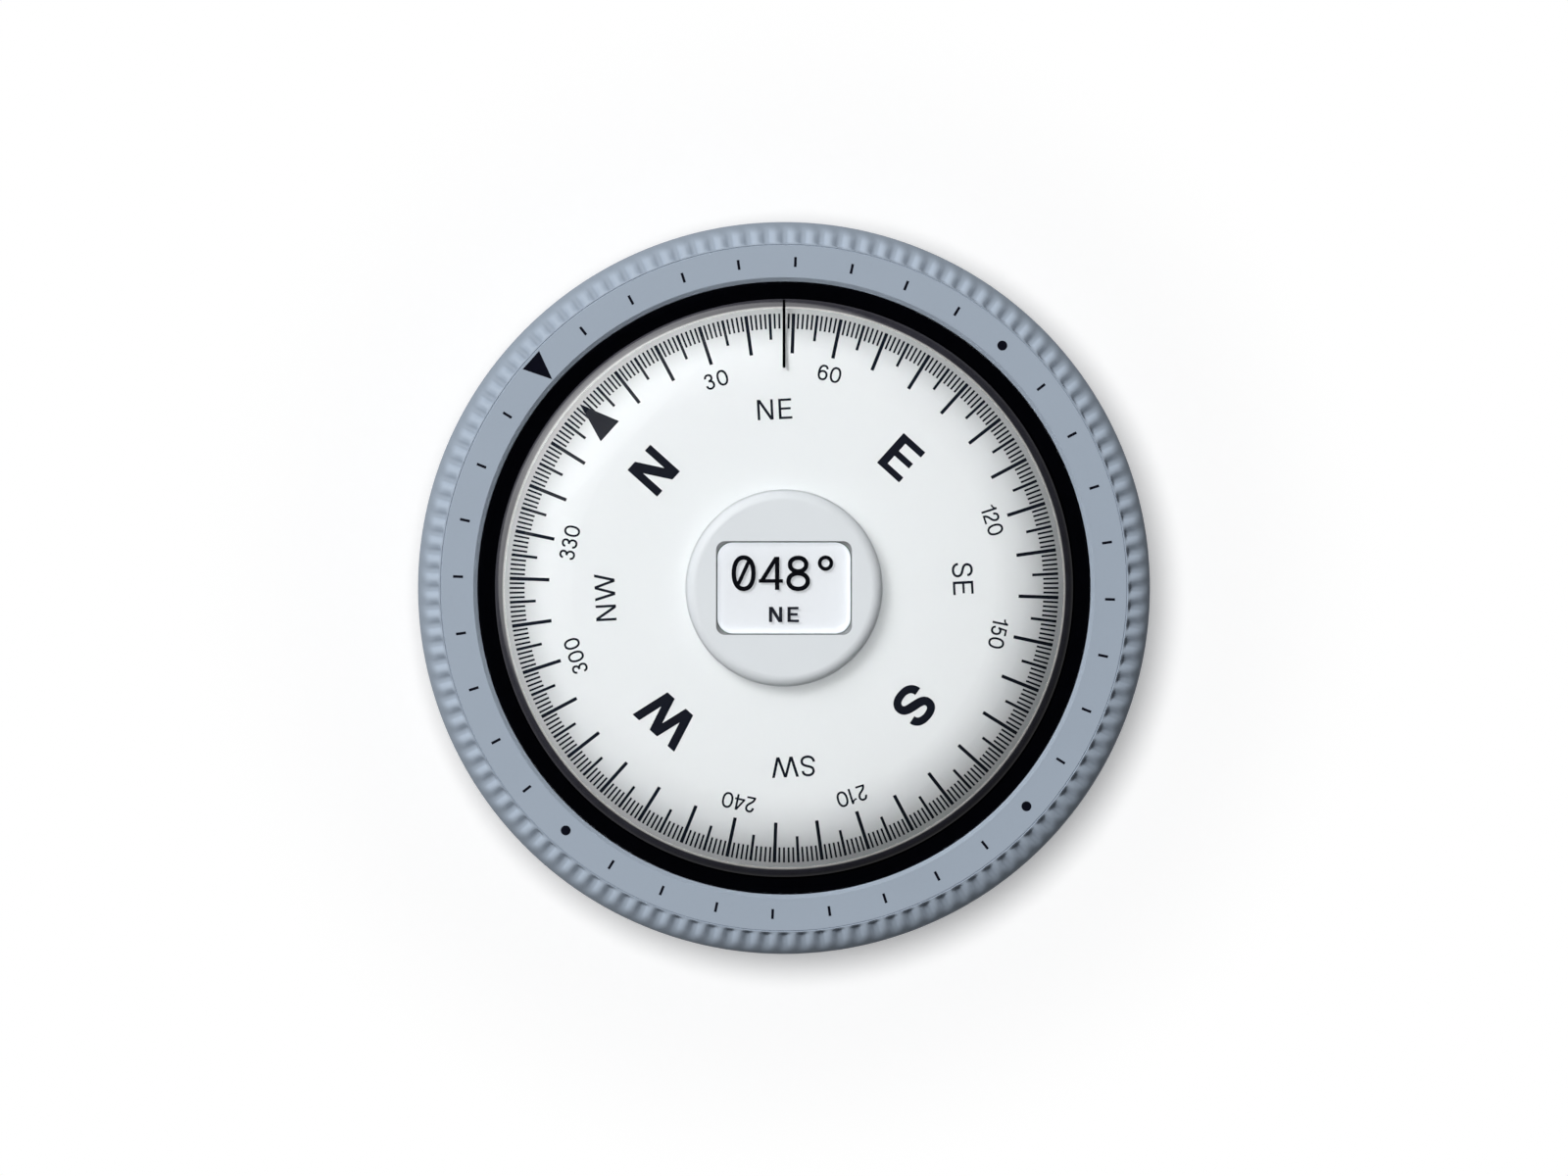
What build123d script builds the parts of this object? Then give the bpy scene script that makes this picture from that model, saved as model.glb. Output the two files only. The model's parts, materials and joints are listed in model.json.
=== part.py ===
from build123d import *

import math
import os

# Round card compass. A fluted bezel turns on a flanged case, a magnetic card turns on a ball bearing round a
# hollow post, and a small display stands on that post above the card, under a box crystal. Millimetres, +Z up.
# The origin is the centre of the foot's underside, and +Y points at the lubber pin that the card is read against.

# Settings that the compass is drawn at, in degrees anticlockwise from the lubber pin
HEADING = 48.0
BEZEL_SETTING = 48.0

# Card: a thin dish, upside down: a flat seat, a faint crown, a rim that rolls down and a skirt
CARD_R = 29.2
CARD_T = 0.8
CARD_SEAT_MARGIN = 0.26
CARD_RIM_WIDTH = 7.2
CARD_CROWN_R = 120.0
CARD_ROLL_R = 7.6
CARD_ROLL = 30.0
CARD_SKIRT_R = 15.6
CARD_SIDE_GAP = 0.4

# Ball bearing under the card
SEAT_R = 3.0
BEARING_R = 5.0
BEARING_W = 2.5
BALL_R = 0.6
BALL_COUNT = 9
BALL_GAP = 0.03
TRACK_DEPTH = 0.22
CAGE_T = 0.44
CAGE_SKIRT = 0.3
CAGE_WEB = 0.3
CAGE_GAP = 0.06

# Clip that holds the bearing on the post
CLIP_T = 0.5
CLIP_REACH = 1.0
CLIP_GROOVE = 0.4
CLIP_OPENING = 60.0

# Hub between the bearing and the card, with its two bar magnets and two card screws
HUB_LIP = 0.5
HUB_TOP_T = 0.5
HUB_WALL = 0.8
MAGNET_L = 14.0
MAGNET_W = 3.0
MAGNET_T = 2.0
CARD_SCREW_HEAD_R = 1.25
CARD_SCREW_R = 0.7
CARD_SCREW_LENGTH = 2.6
CARD_SCREW_INSET = 2.42
CARD_SCREW_SLOT = 0.3

# Hollow post and the bridge that carries it
SHANK_R = 3.8
POST_BORE_R = 1.7
POST_FLANGE_R = 5.5
POST_FLANGE_T = 0.6
POST_STEP = 0.8
SPIGOT_R = 2.4
BRIDGE_T = 1.2
BRIDGE_RISE = 1.6
BRIDGE_HUB_R = 7.5
BRIDGE_ARM_W = 4.4

# Circuit board on its bosses
BOARD_T = 1.0
BOARD_SIDE_GAP = 1.6
BOARD_EDGE = 5.0
BOSS_COUNT = 3
BOSS_R = 2.2
FRAME_SCREW_R = 1.0
FRAME_SCREW_HEAD_R = 1.9
FRAME_SCREW_HEAD_H = 1.2
FRAME_SCREW_BITE = 2.6
FRAME_SCREW_SLOT = 0.5
SCREW_HOLE_GAP = 0.1
CHIP_SIDE = 6.0
CHIP_T = 0.9
CHIP_AT = (13.0, 3.0)
SENSOR_SIDE = 3.0
SENSOR_T = 0.9
SENSOR_AT = (-12.0, -2.0)
CONNECTOR_L = 2.4
CONNECTOR_W = 5.0
CONNECTOR_T = 1.2
CONNECTOR_AT = (-8.0, 0.0)
FLEX_T = 0.15
FLEX_W = 2.4
FLEX_RISE = 0.4

# Coin cell and its two contacts
COIN_R = 10.0
COIN_T = 3.2
COIN_CAP_STEP = 0.3
COIN_CAP_INSET = 1.1
COIN_SIDE_GAP = 0.25
COIN_END_GAP = 0.1
SPRING_ROOM = 0.8
CONTACT_T = 0.2
CONTACT_W = 3.0
CONTACT_PAD = 3.0
CONTACT_TOUCH = 0.02
SPRING_TIP = 2.4

# Battery cover with three bayonet lugs, a coin slot and a seal
COVER_RIM = 1.4
COVER_GAP = 0.1
COVER_RECESS = 0.2
COVER_TURN = 40.0
LUG_COUNT = 3
LUG_SPAN = 30.0
LUG_REACH = 1.0
LUG_T = 0.7
LUG_GAP = 0.1
LUG_END_GAP = 0.6
COIN_SLOT_W = 2.0
COIN_SLOT_L = 15.0
COIN_SLOT_DEPTH = 1.0
COVER_RING_R = 0.45
COVER_RING_RISE = 0.75
SEAL_FIT = 0.02

# Case
FOOT_PROUD = 0.6
FOOT_SUNK = 0.6
FOOT_W = 3.0
FOOT_INSET = 2.5
LIP_T = 1.8
ROOF_T = 0.8
WELL_T = 1.0
WELL_H = 1.5
BODY_WALL = 3.4
BODY_ROUND = 1.8
FLANGE_INSET = 1.2
FLANGE_T = 1.8
FLANGE_FILLET = 1.6
FLANGE_ROUND = 0.5
FLOOR_FILLET = 1.0
LEDGE_W = 1.3
COLLAR_LIP = 0.8

# Lubber pin in the crystal's wall
LUBBER_R = 0.145
LUBBER_L = 8.05
LUBBER_SLOPE = 27.0
LUBBER_RISE = 0.75
LUBBER_INSET = 0.08

# Display pod on the post
POD_R = 10.22
POD_H = 2.2
POD_ROUND = 1.1
POD_WALL = 1.0
POD_TOP_T = 0.8
POD_GAP = 0.35
DISPLAY_BASE_T = 0.5
DISPLAY_BOARD_T = 0.4
DISPLAY_BOARD_GAP = 0.15
REFLECTOR_T = 0.45
LCD_SEAL_T = 0.45
LCD_SEAL_W = 0.15
LCD_GLASS_T = 0.3
LCD_L = 13.8
LCD_H = 9.44
LCD_CORNER = 1.6
WINDOW_GAP = 0.14
WINDOW_CORNER = 0.95
DISPLAY_GASKET_GAP = 0.08

# Box crystal, its gasket and the ring that holds it
CRYSTAL_T = 1.2
CRYSTAL_WALL = 0.93
CRYSTAL_SINK = 4.0
CRYSTAL_FLANGE_T = 0.6
CRYSTAL_FLANGE_GAP = 0.05
CRYSTAL_GAP = 0.35
CRYSTAL_FLAT_INSET = 2.78
CRYSTAL_ARRIS_W = 0.08
CRYSTAL_ARRIS = 18.0
CRYSTAL_BEVEL = 1.5
CRYSTAL_ROUND = 1.4
CRYSTAL_FILLET = 0.1
CRYSTAL_STEP = 0.77
GASKET_T = 0.3
GASKET_GAP = 0.1
RING_PLUG = 0.5
RING_T = 0.3
RING_GAP = 0.05
RING_FIT = 0.02

# Bezel: bore, chamfer, flat top, a fine groove, then a rounded fluted band out to a plain lip
BEZEL_GAP = 0.12
BEZEL_LIFT = 0.12
BEZEL_H = 6.0
BEZEL_CHAMFER = 0.43
BEZEL_FLAT = 3.45
BEZEL_EDGE_ROUND = 0.4
EDGE_GROOVE = 0.08
BAND_W = 2.3
BAND_START = 15.0
BAND_END = 70.0
FLUTE_COUNT = 120
FLUTE_R = 0.8
FLUTE_DEPTH = 0.38
FLUTE_START = 18.5
FLUTE_END = 64.0

# Filled marks on the bezel's flat
MARK_COUNT = 36
MARK_DEPTH = 0.15
MARK_INSET = 1.6
TICK_L = 1.03
TICK_W = 0.27
DOT_R = 0.515
POINTER_INSET = 0.1
POINTER_L = 3.0
POINTER_W = 2.55

# Friction ring and retaining wire between the bezel and the case
FRICTION_R = 0.55
FRICTION_GROOVE_GAP = 0.1
WIRE_R = 0.4
WIRE_RISE = 1.1
WIRE_GAP = 0.02
WIRE_RUN_GAP = 0.1
WIRE_OPENING = 8.0

# Radii, from the card outwards
bore_r = CARD_R + CARD_SIDE_GAP
seat_r = bore_r + LEDGE_W
collar_r = seat_r + COLLAR_LIP
bezel_bore_r = collar_r + BEZEL_GAP
flat_in_r = bezel_bore_r + BEZEL_CHAMFER
flat_out_r = flat_in_r + BEZEL_FLAT
bezel_r = flat_out_r + BAND_W
body_r = bore_r + BODY_WALL
flange_r = bezel_r - FLANGE_INSET
plug_r = seat_r - CRYSTAL_STEP
crystal_flat_r = plug_r - CRYSTAL_FLAT_INSET
lubber_out_r = plug_r - LUBBER_INSET
foot_out_r = body_r - FOOT_INSET
foot_in_r = foot_out_r - FOOT_W
board_r = bore_r - BOARD_SIDE_GAP
boss_ring_r = board_r - BOARD_EDGE

# Radii round the battery
cover_r = COIN_R + COVER_RIM
cover_hole_r = cover_r + COVER_GAP
lug_r = cover_r + LUG_REACH
pocket_r = lug_r + COVER_GAP
well_r = COIN_R + COIN_SIDE_GAP
cover_ring_major = cover_hole_r - COVER_RING_R - SEAL_FIT

# Radii of the bearing, the hub and the wire
pitch_r = (SEAT_R + BEARING_R) / 2
inner_land_r = pitch_r - BALL_R + TRACK_DEPTH
outer_land_r = pitch_r + BALL_R - TRACK_DEPTH
hub_bore_r = BEARING_R - HUB_LIP
card_screw_r = POD_R - CARD_SCREW_INSET
magnet_x = BEARING_R + HUB_WALL + MAGNET_W / 2
hub_r = math.hypot(magnet_x + MAGNET_W / 2, MAGNET_L / 2) + HUB_WALL
card_flat_r = hub_r + CARD_SEAT_MARGIN
wire_major = (collar_r + bezel_bore_r) / 2
friction_major = (collar_r + flange_r) / 2

# Heights, from the foot up to the circuit board
base_z = FOOT_PROUD
lip_top = base_z + LIP_T
cover_z = base_z + COVER_RECESS
cover_top = lip_top + LUG_GAP + LUG_T
pocket_top = cover_top + LUG_GAP
floor_top = pocket_top + ROOF_T
coin_z = cover_top + COIN_END_GAP
coin_top = coin_z + COIN_T
board_z = coin_top + SPRING_ROOM
board_top = board_z + BOARD_T

# Heights, from the bridge up to the pod
bridge_z = board_top + BRIDGE_RISE
bridge_top = bridge_z + BRIDGE_T
bearing_z = bridge_top + POST_STEP
bearing_mid = bearing_z + BEARING_W / 2
bearing_top = bearing_z + BEARING_W
hub_top = bearing_top + HUB_TOP_T
card_top = hub_top + CARD_T
pod_z = card_top + POD_GAP
pod_top = pod_z + POD_H
display_base_top = pod_z + DISPLAY_BASE_T
display_board_top = display_base_top + DISPLAY_BOARD_T
reflector_top = display_board_top + REFLECTOR_T
lcd_seal_top = reflector_top + LCD_SEAL_T
lcd_glass_top = lcd_seal_top + LCD_GLASS_T
pod_ceiling = pod_top - POD_TOP_T

# Heights, from the crystal's ledge out to the bezel
crystal_z = card_top - CRYSTAL_SINK
crystal_under = pod_top + CRYSTAL_GAP
crystal_top = crystal_under + CRYSTAL_T
crystal_flange_top = crystal_z + CRYSTAL_FLANGE_T
lubber_z = crystal_z + LUBBER_RISE
ledge_z = crystal_z - GASKET_T
collar_top = crystal_flange_top + RING_PLUG
ring_top = collar_top + RING_T
bezel_top = ring_top + BEZEL_CHAMFER
bezel_z = bezel_top - BEZEL_H
shoulder_z = bezel_z - BEZEL_LIFT
friction_z = bezel_z - FRICTION_R - SEAL_FIT
wire_z = bezel_z + WIRE_RISE

# Rounded band of the bezel: an arc between two slopes
band_r = BAND_W / (math.sin(math.radians(BAND_END)) - math.sin(math.radians(BAND_START)))
band_centre_r = flat_out_r - band_r * math.sin(math.radians(BAND_START))
band_centre_z = bezel_top - band_r * math.cos(math.radians(BAND_START))


def turned(*corners):
    """Solid turned about Z from (radius, height) corners; a third value rounds that corner."""
    points = [corner[:2] for corner in corners]
    rounds = [corner[2] if len(corner) > 2 else 0 for corner in corners]
    outline = FilletPolyline(*points, radius=rounds, close=True)
    return revolve(Plane.XZ * make_face(outline), Axis.Z)


def ring(inner_r, outer_r, low_z, high_z):
    """Plain ring of rectangular section."""
    return turned((inner_r, low_z), (outer_r, low_z), (outer_r, high_z), (inner_r, high_z))


def sector(inner_r, outer_r, low_z, high_z, start, span):
    """Part of a plain ring, from one angle over a span of degrees."""
    outline = Polyline((inner_r, low_z), (outer_r, low_z), (outer_r, high_z), (inner_r, high_z), close=True)
    return Rot(0, 0, start) * revolve(Plane.XZ * make_face(outline), Axis.Z, span)


def disc(radius, low_z, high_z):
    """Upright cylinder between two heights."""
    return Pos(0, 0, low_z) * Cylinder(radius, high_z - low_z, align=(Align.CENTER, Align.CENTER, Align.MIN))


def slab(length, width, low_z, high_z):
    """Upright box between two heights, centred on Z."""
    return Pos(0, 0, low_z) * Box(length, width, high_z - low_z, align=(Align.CENTER, Align.CENTER, Align.MIN))


def plate(sketch, low_z, high_z):
    """Flat sketch raised between two heights."""
    return extrude(Pos(0, 0, low_z) * sketch, high_z - low_z)


def around(count, start=0):
    """Turns about Z that space count copies evenly."""
    return [Rot(0, 0, start + 360 * index / count) for index in range(count)]


def arc_point(radius, angle):
    """Point on the bezel's band at an angle from the vertical."""
    turn = math.radians(angle)
    return (band_centre_r + radius * math.sin(turn), band_centre_z + radius * math.cos(turn))


def boss_places():
    """Places of the bosses, the bridge's feet and the frame screws."""
    return [turn * Pos(0, boss_ring_r, 0) for turn in around(BOSS_COUNT)]


def lug_start():
    """Angle at which the first lug begins while the cover is locked."""
    return -LUG_SPAN / 2


def make_lubber_pin():
    """Pin at the top of the dial that slopes up over the card's rim from its seat in the crystal's wall."""
    pin = Cylinder(LUBBER_R, LUBBER_L, align=(Align.CENTER, Align.CENTER, Align.MIN))
    return Pos(0, lubber_out_r, lubber_z) * Rot(90 - LUBBER_SLOPE, 0, 0) * pin


def make_case_shell():
    """Turned body of the case, before the bayonet, the bosses and the holes."""
    friction_in_r = friction_major - FRICTION_R - FRICTION_GROOVE_GAP
    friction_out_r = friction_major + FRICTION_R + FRICTION_GROOVE_GAP
    friction_floor = friction_z - FRICTION_R - SEAL_FIT
    wire_room = WIRE_R + WIRE_RUN_GAP
    well_top = floor_top + WELL_H
    return turned(
        (cover_hole_r, base_z),
        (foot_in_r, base_z),
        (foot_in_r, base_z + FOOT_SUNK),
        (foot_out_r, base_z + FOOT_SUNK),
        (foot_out_r, base_z),
        (body_r, base_z, BODY_ROUND),
        (body_r, shoulder_z - FLANGE_T, FLANGE_FILLET),
        (flange_r, shoulder_z - FLANGE_T, FLANGE_ROUND),
        (flange_r, shoulder_z, FLANGE_ROUND),
        (friction_out_r, shoulder_z),
        (friction_out_r, friction_floor),
        (friction_in_r, friction_floor),
        (friction_in_r, shoulder_z),
        (collar_r, shoulder_z),
        (collar_r, wire_z - wire_room),
        (wire_major - wire_room, wire_z - wire_room),
        (wire_major - wire_room, wire_z + wire_room),
        (collar_r, wire_z + wire_room),
        (collar_r, collar_top),
        (seat_r, collar_top),
        (seat_r, ledge_z),
        (bore_r, ledge_z),
        (bore_r, floor_top, FLOOR_FILLET),
        (well_r + WELL_T, floor_top),
        (well_r + WELL_T, well_top),
        (well_r, well_top),
        (well_r, pocket_top),
        (cover_hole_r, pocket_top),
    )


def make_bayonet_cut():
    """Entry slots and turning pockets for the lugs of the battery cover."""
    entry_start = lug_start() - COVER_TURN - LUG_END_GAP
    entry_span = LUG_SPAN + 2 * LUG_END_GAP
    pocket_span = entry_span + COVER_TURN
    inner_r = cover_r - LUG_REACH
    entry = sector(inner_r, pocket_r, base_z - LIP_T, pocket_top, entry_start, entry_span)
    pocket = sector(inner_r, pocket_r, lip_top, pocket_top, entry_start, pocket_span)
    return [turn * tool for turn in around(LUG_COUNT) for tool in (entry, pocket)]


def make_base_case():
    """Flanged case with its bosses, bayonet mouth and clip notch."""
    boss = disc(BOSS_R, floor_top, board_z)
    hole = disc(FRAME_SCREW_R, floor_top, board_z)
    notch = Pos(well_r + WELL_T / 2, 0, 0) * slab(2 * WELL_T, CONTACT_W + WELL_T, floor_top, board_z)
    case = make_case_shell() + [place * boss for place in boss_places()]
    case = case - [place * hole for place in boss_places()]
    case = case - make_bayonet_cut()
    return case - notch


def make_foot_ring():
    """Rubber ring that the compass stands on."""
    return ring(foot_in_r, foot_out_r, 0, base_z + FOOT_SUNK)


def make_battery_cover():
    """Turned cover with a seal groove, a coin slot and three lugs."""
    ring_z = cover_z + COVER_RING_RISE
    half_groove = COVER_RING_R + SEAL_FIT
    groove_r = cover_ring_major - half_groove
    cover = turned(
        (0, cover_z),
        (cover_r, cover_z),
        (cover_r, ring_z - half_groove),
        (groove_r, ring_z - half_groove),
        (groove_r, ring_z + half_groove),
        (cover_r, ring_z + half_groove),
        (cover_r, cover_top),
        (0, cover_top),
    )
    lug = sector(cover_r - LUG_REACH, lug_r, cover_top - LUG_T, cover_top, lug_start(), LUG_SPAN)
    slot = plate(SlotOverall(COIN_SLOT_L, COIN_SLOT_W), cover_z - COIN_SLOT_DEPTH, cover_z + COIN_SLOT_DEPTH)
    return cover + [turn * lug for turn in around(LUG_COUNT)] - slot


def make_battery_cover_oring():
    """Seal in the groove of the battery cover."""
    return Pos(0, 0, cover_z + COVER_RING_RISE) * Torus(cover_ring_major, COVER_RING_R)


def make_coin_cell():
    """Coin cell, its can below and its smaller cap above."""
    cap_r = COIN_R - COIN_CAP_INSET
    return disc(COIN_R, coin_z, coin_top - COIN_CAP_STEP) + disc(cap_r, coin_top - COIN_CAP_STEP, coin_top)


def make_negative_spring():
    """Leaf soldered under the board that bends down to the cell's cap."""
    pad_x = -SPRING_TIP - CONTACT_PAD
    low = coin_top + CONTACT_TOUCH
    outline = Polyline(
        (pad_x - CONTACT_PAD, board_z),
        (pad_x, board_z),
        (-SPRING_TIP, low + CONTACT_T),
        (SPRING_TIP, low + CONTACT_T),
        (SPRING_TIP, low),
        (-SPRING_TIP, low),
        (pad_x, board_z - CONTACT_T),
        (pad_x - CONTACT_PAD, board_z - CONTACT_T),
        close=True,
    )
    return extrude(Plane.XZ * make_face(outline), CONTACT_W / 2, both=True)


def make_positive_clip():
    """Bent strip that runs from the board down the side of the cell's can."""
    blade_x = COIN_R + CONTACT_TOUCH
    low = floor_top + CONTACT_T
    outline = Polyline(
        (blade_x, low),
        (blade_x + CONTACT_T, low),
        (blade_x + CONTACT_T, board_z - CONTACT_T),
        (blade_x + CONTACT_PAD, board_z - CONTACT_T),
        (blade_x + CONTACT_PAD, board_z),
        (blade_x, board_z),
        close=True,
    )
    return extrude(Plane.XZ * make_face(outline), CONTACT_W / 2, both=True)


def make_circuit_board():
    """Round board with a hole over each boss."""
    hole = disc(FRAME_SCREW_R + SCREW_HOLE_GAP, board_z, board_top)
    return disc(board_r, board_z, board_top) - [place * hole for place in boss_places()]


def make_controller_chip():
    """Square chip on the board."""
    return Pos(*CHIP_AT, 0) * slab(CHIP_SIDE, CHIP_SIDE, board_top, board_top + CHIP_T)


def make_heading_sensor():
    """Small square sensor on the board, under the magnets' path."""
    return Pos(*SENSOR_AT, 0) * slab(SENSOR_SIDE, SENSOR_SIDE, board_top, board_top + SENSOR_T)


def make_flex_connector():
    """Connector that holds the end of the cable."""
    body = Pos(*CONNECTOR_AT, 0) * slab(CONNECTOR_L, CONNECTOR_W, board_top, board_top + CONNECTOR_T)
    return body - make_display_flex()


def make_display_flex():
    """Flat cable from the connector to the post, then up its bore to the display board."""
    low = board_top + FLEX_RISE
    outline = Polyline(
        (CONNECTOR_AT[0], low),
        (FLEX_T, low),
        (FLEX_T, display_base_top),
        (0, display_base_top),
        (0, low + FLEX_T),
        (CONNECTOR_AT[0], low + FLEX_T),
        close=True,
    )
    return extrude(Plane.XZ * make_face(outline), FLEX_W / 2, both=True)


def make_bridge():
    """Plate with three arms on feet, bored for the post and the frame screws."""
    arm = Pos(0, boss_ring_r / 2, 0) * slab(BRIDGE_ARM_W, boss_ring_r, bridge_z, bridge_top)
    foot = disc(BOSS_R, board_top, bridge_top)
    hole = disc(FRAME_SCREW_R + SCREW_HOLE_GAP, board_top, bridge_top)
    bridge = disc(BRIDGE_HUB_R, bridge_z, bridge_top) + [turn * arm for turn in around(BOSS_COUNT)]
    bridge = bridge + [place * foot for place in boss_places()]
    return bridge - [place * hole for place in boss_places()] - disc(SHANK_R, bridge_z, bridge_top)


def make_frame_screws():
    """Slotted screws through the bridge and the board into the bosses."""
    head_top = bridge_top + FRAME_SCREW_HEAD_H
    slot = slab(2 * FRAME_SCREW_HEAD_R, FRAME_SCREW_SLOT, head_top - FRAME_SCREW_SLOT, head_top)
    shank = disc(FRAME_SCREW_R, board_z - FRAME_SCREW_BITE, bridge_top)
    screw = shank + disc(FRAME_SCREW_HEAD_R, bridge_top, head_top) - slot
    return Part() + [place * screw for place in boss_places()]


def make_centre_post():
    """Hollow post: flange under the bridge, bearing seat, clip groove and a spigot for the pod."""
    groove_r = SEAT_R - CLIP_GROOVE
    return turned(
        (POST_BORE_R, bridge_z - POST_FLANGE_T),
        (POST_FLANGE_R, bridge_z - POST_FLANGE_T),
        (POST_FLANGE_R, bridge_z),
        (SHANK_R, bridge_z),
        (SHANK_R, bearing_z),
        (SEAT_R, bearing_z),
        (SEAT_R, bearing_top),
        (groove_r, bearing_top),
        (groove_r, bearing_top + CLIP_T),
        (SEAT_R, bearing_top + CLIP_T),
        (SEAT_R, pod_z),
        (SPIGOT_R, pod_z),
        (SPIGOT_R, display_base_top),
        (POST_BORE_R, display_base_top),
    )


def ball_track():
    """Round track that the balls run in."""
    return Pos(0, 0, bearing_mid) * Torus(pitch_r, BALL_R + BALL_GAP)


def make_bearing_inner_ring():
    """Inner bearing ring on the post."""
    return ring(SEAT_R, inner_land_r, bearing_z, bearing_top) - ball_track()


def make_bearing_outer_ring():
    """Outer bearing ring in the hub."""
    return ring(outer_land_r, BEARING_R, bearing_z, bearing_top) - ball_track()


def ball_places():
    """Places of the bearing balls."""
    return [turn * Pos(pitch_r, 0, bearing_mid) for turn in around(BALL_COUNT)]


def make_bearing_balls():
    """All the bearing balls."""
    return Part() + [place * Sphere(BALL_R) for place in ball_places()]


def make_bearing_cage():
    """Crown cage, open below, with a round pocket for each ball."""
    low = bearing_mid - CAGE_SKIRT
    high = bearing_mid + BALL_R + CAGE_GAP + CAGE_WEB
    crown = ring(pitch_r - CAGE_T / 2, pitch_r + CAGE_T / 2, low, high)
    return crown - [place * Sphere(BALL_R + CAGE_GAP) for place in ball_places()]


def make_bearing_clip():
    """Open clip in the post's groove, on top of the inner ring."""
    inner_r = SEAT_R - CLIP_GROOVE
    start = CLIP_OPENING / 2
    return sector(inner_r, SEAT_R + CLIP_REACH, bearing_top, bearing_top + CLIP_T, start, 360 - CLIP_OPENING)


def make_card_magnets():
    """Pair of bar magnets that lie along the card's north line."""
    magnet = slab(MAGNET_W, MAGNET_L, bearing_z, bearing_z + MAGNET_T)
    return Rot(0, 0, HEADING) * (Part() + [Pos(side * magnet_x, 0, 0) * magnet for side in (-1, 1)])


def make_card_screws():
    """Countersunk slotted screws that hold the card on the hub."""
    low = card_top - CARD_SCREW_LENGTH
    cone_z = card_top - (CARD_SCREW_HEAD_R - CARD_SCREW_R)
    screw = turned(
        (0, low),
        (CARD_SCREW_R, low),
        (CARD_SCREW_R, cone_z),
        (CARD_SCREW_HEAD_R, card_top),
        (0, card_top),
    )
    slot = slab(2 * CARD_SCREW_HEAD_R, CARD_SCREW_SLOT, card_top - CARD_SCREW_SLOT, card_top)
    places = [Pos(0, side * card_screw_r, 0) for side in (-1, 1)]
    return Rot(0, 0, HEADING) * (Part() + [place * (screw - slot) for place in places])


def make_card_hub():
    """Hub with a bearing bore under a lip, magnet pockets below and two screw holes."""
    hub = turned(
        (BEARING_R, bearing_z),
        (hub_r, bearing_z),
        (hub_r, hub_top),
        (hub_bore_r, hub_top),
        (hub_bore_r, bearing_top),
        (BEARING_R, bearing_top),
    )
    return hub - make_card_magnets() - make_card_screws()


def card_arcs():
    """Centre, radius and two slopes of each arc of the card's top face, from its seat to its edge."""
    crown = math.asin((CARD_R - CARD_RIM_WIDTH - card_flat_r) / CARD_CROWN_R)
    roll = math.radians(CARD_ROLL)
    across, up, slope = card_flat_r, card_top, 0.0
    arcs = []
    for radius, end in ((CARD_CROWN_R, crown), (CARD_ROLL_R, roll), (CARD_SKIRT_R, None)):
        centre = (across - radius * math.sin(slope), up - radius * math.cos(slope))
        if end is None:
            end = math.asin((CARD_R - centre[0]) / radius)
        arcs.append((centre, radius, slope, end))
        across = centre[0] + radius * math.sin(end)
        up = centre[1] + radius * math.cos(end)
        slope = end
    return arcs


def card_edges(depth):
    """Arcs of the card at a depth under its top face, from its seat to its edge."""
    edges = []
    for centre, radius, start, end in card_arcs():
        reach = radius - depth
        slopes = (start, (start + end) / 2, end)
        points = [(centre[0] + reach * math.sin(slope), centre[1] + reach * math.cos(slope)) for slope in slopes]
        edges.append(ThreePointArc(*points))
    return edges


def make_compass_card():
    """Card with a flat seat for the hub, a faint crown and a rim that rolls down into a skirt."""
    top = card_edges(0)
    under = card_edges(CARD_T)
    edges = [
        Line((hub_bore_r, hub_top), (card_flat_r, hub_top)),
        *under,
        Line(under[-1] @ 1, top[-1] @ 1),
        *top,
        Line((card_flat_r, card_top), (hub_bore_r, card_top)),
        Line((hub_bore_r, card_top), (hub_bore_r, hub_top)),
    ]
    card = revolve(Plane.XZ * make_face(edges), Axis.Z)
    head = disc(CARD_SCREW_HEAD_R, card_top - CARD_SCREW_SLOT, card_top)
    cut = [Rot(0, 0, HEADING) * Pos(0, side * card_screw_r, 0) * head for side in (-1, 1)]
    return card - make_card_screws() - cut


def make_display_base():
    """Disc on the post's spigot that closes the pod from below."""
    return ring(SPIGOT_R, POD_R - POD_WALL, pod_z, display_base_top)


def make_display_board():
    """Round board that drives the display."""
    return disc(POD_R - POD_WALL - DISPLAY_BOARD_GAP, display_base_top, display_board_top)


def lcd_outline():
    """Outline of the display plates."""
    return RectangleRounded(LCD_L, LCD_H, LCD_CORNER)


def make_lcd_reflector():
    """Pale rear plate of the display."""
    return plate(lcd_outline(), display_board_top, reflector_top)


def make_lcd_seal():
    """Thin frame that keeps the two plates of the display apart."""
    inner = RectangleRounded(LCD_L - 2 * LCD_SEAL_W, LCD_H - 2 * LCD_SEAL_W, LCD_CORNER - LCD_SEAL_W)
    return plate(lcd_outline() - inner, reflector_top, lcd_seal_top)


def make_lcd_glass():
    """Clear front plate of the display."""
    return plate(lcd_outline(), lcd_seal_top, lcd_glass_top)


def make_display_gasket():
    """Dark foam round the display, between its board and the pod's ceiling."""
    gap = DISPLAY_GASKET_GAP
    hole = RectangleRounded(LCD_L + 2 * gap, LCD_H + 2 * gap, LCD_CORNER + gap)
    outer = Circle(POD_R - POD_WALL - DISPLAY_BOARD_GAP)
    return plate(outer - hole, display_board_top, pod_ceiling)


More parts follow.
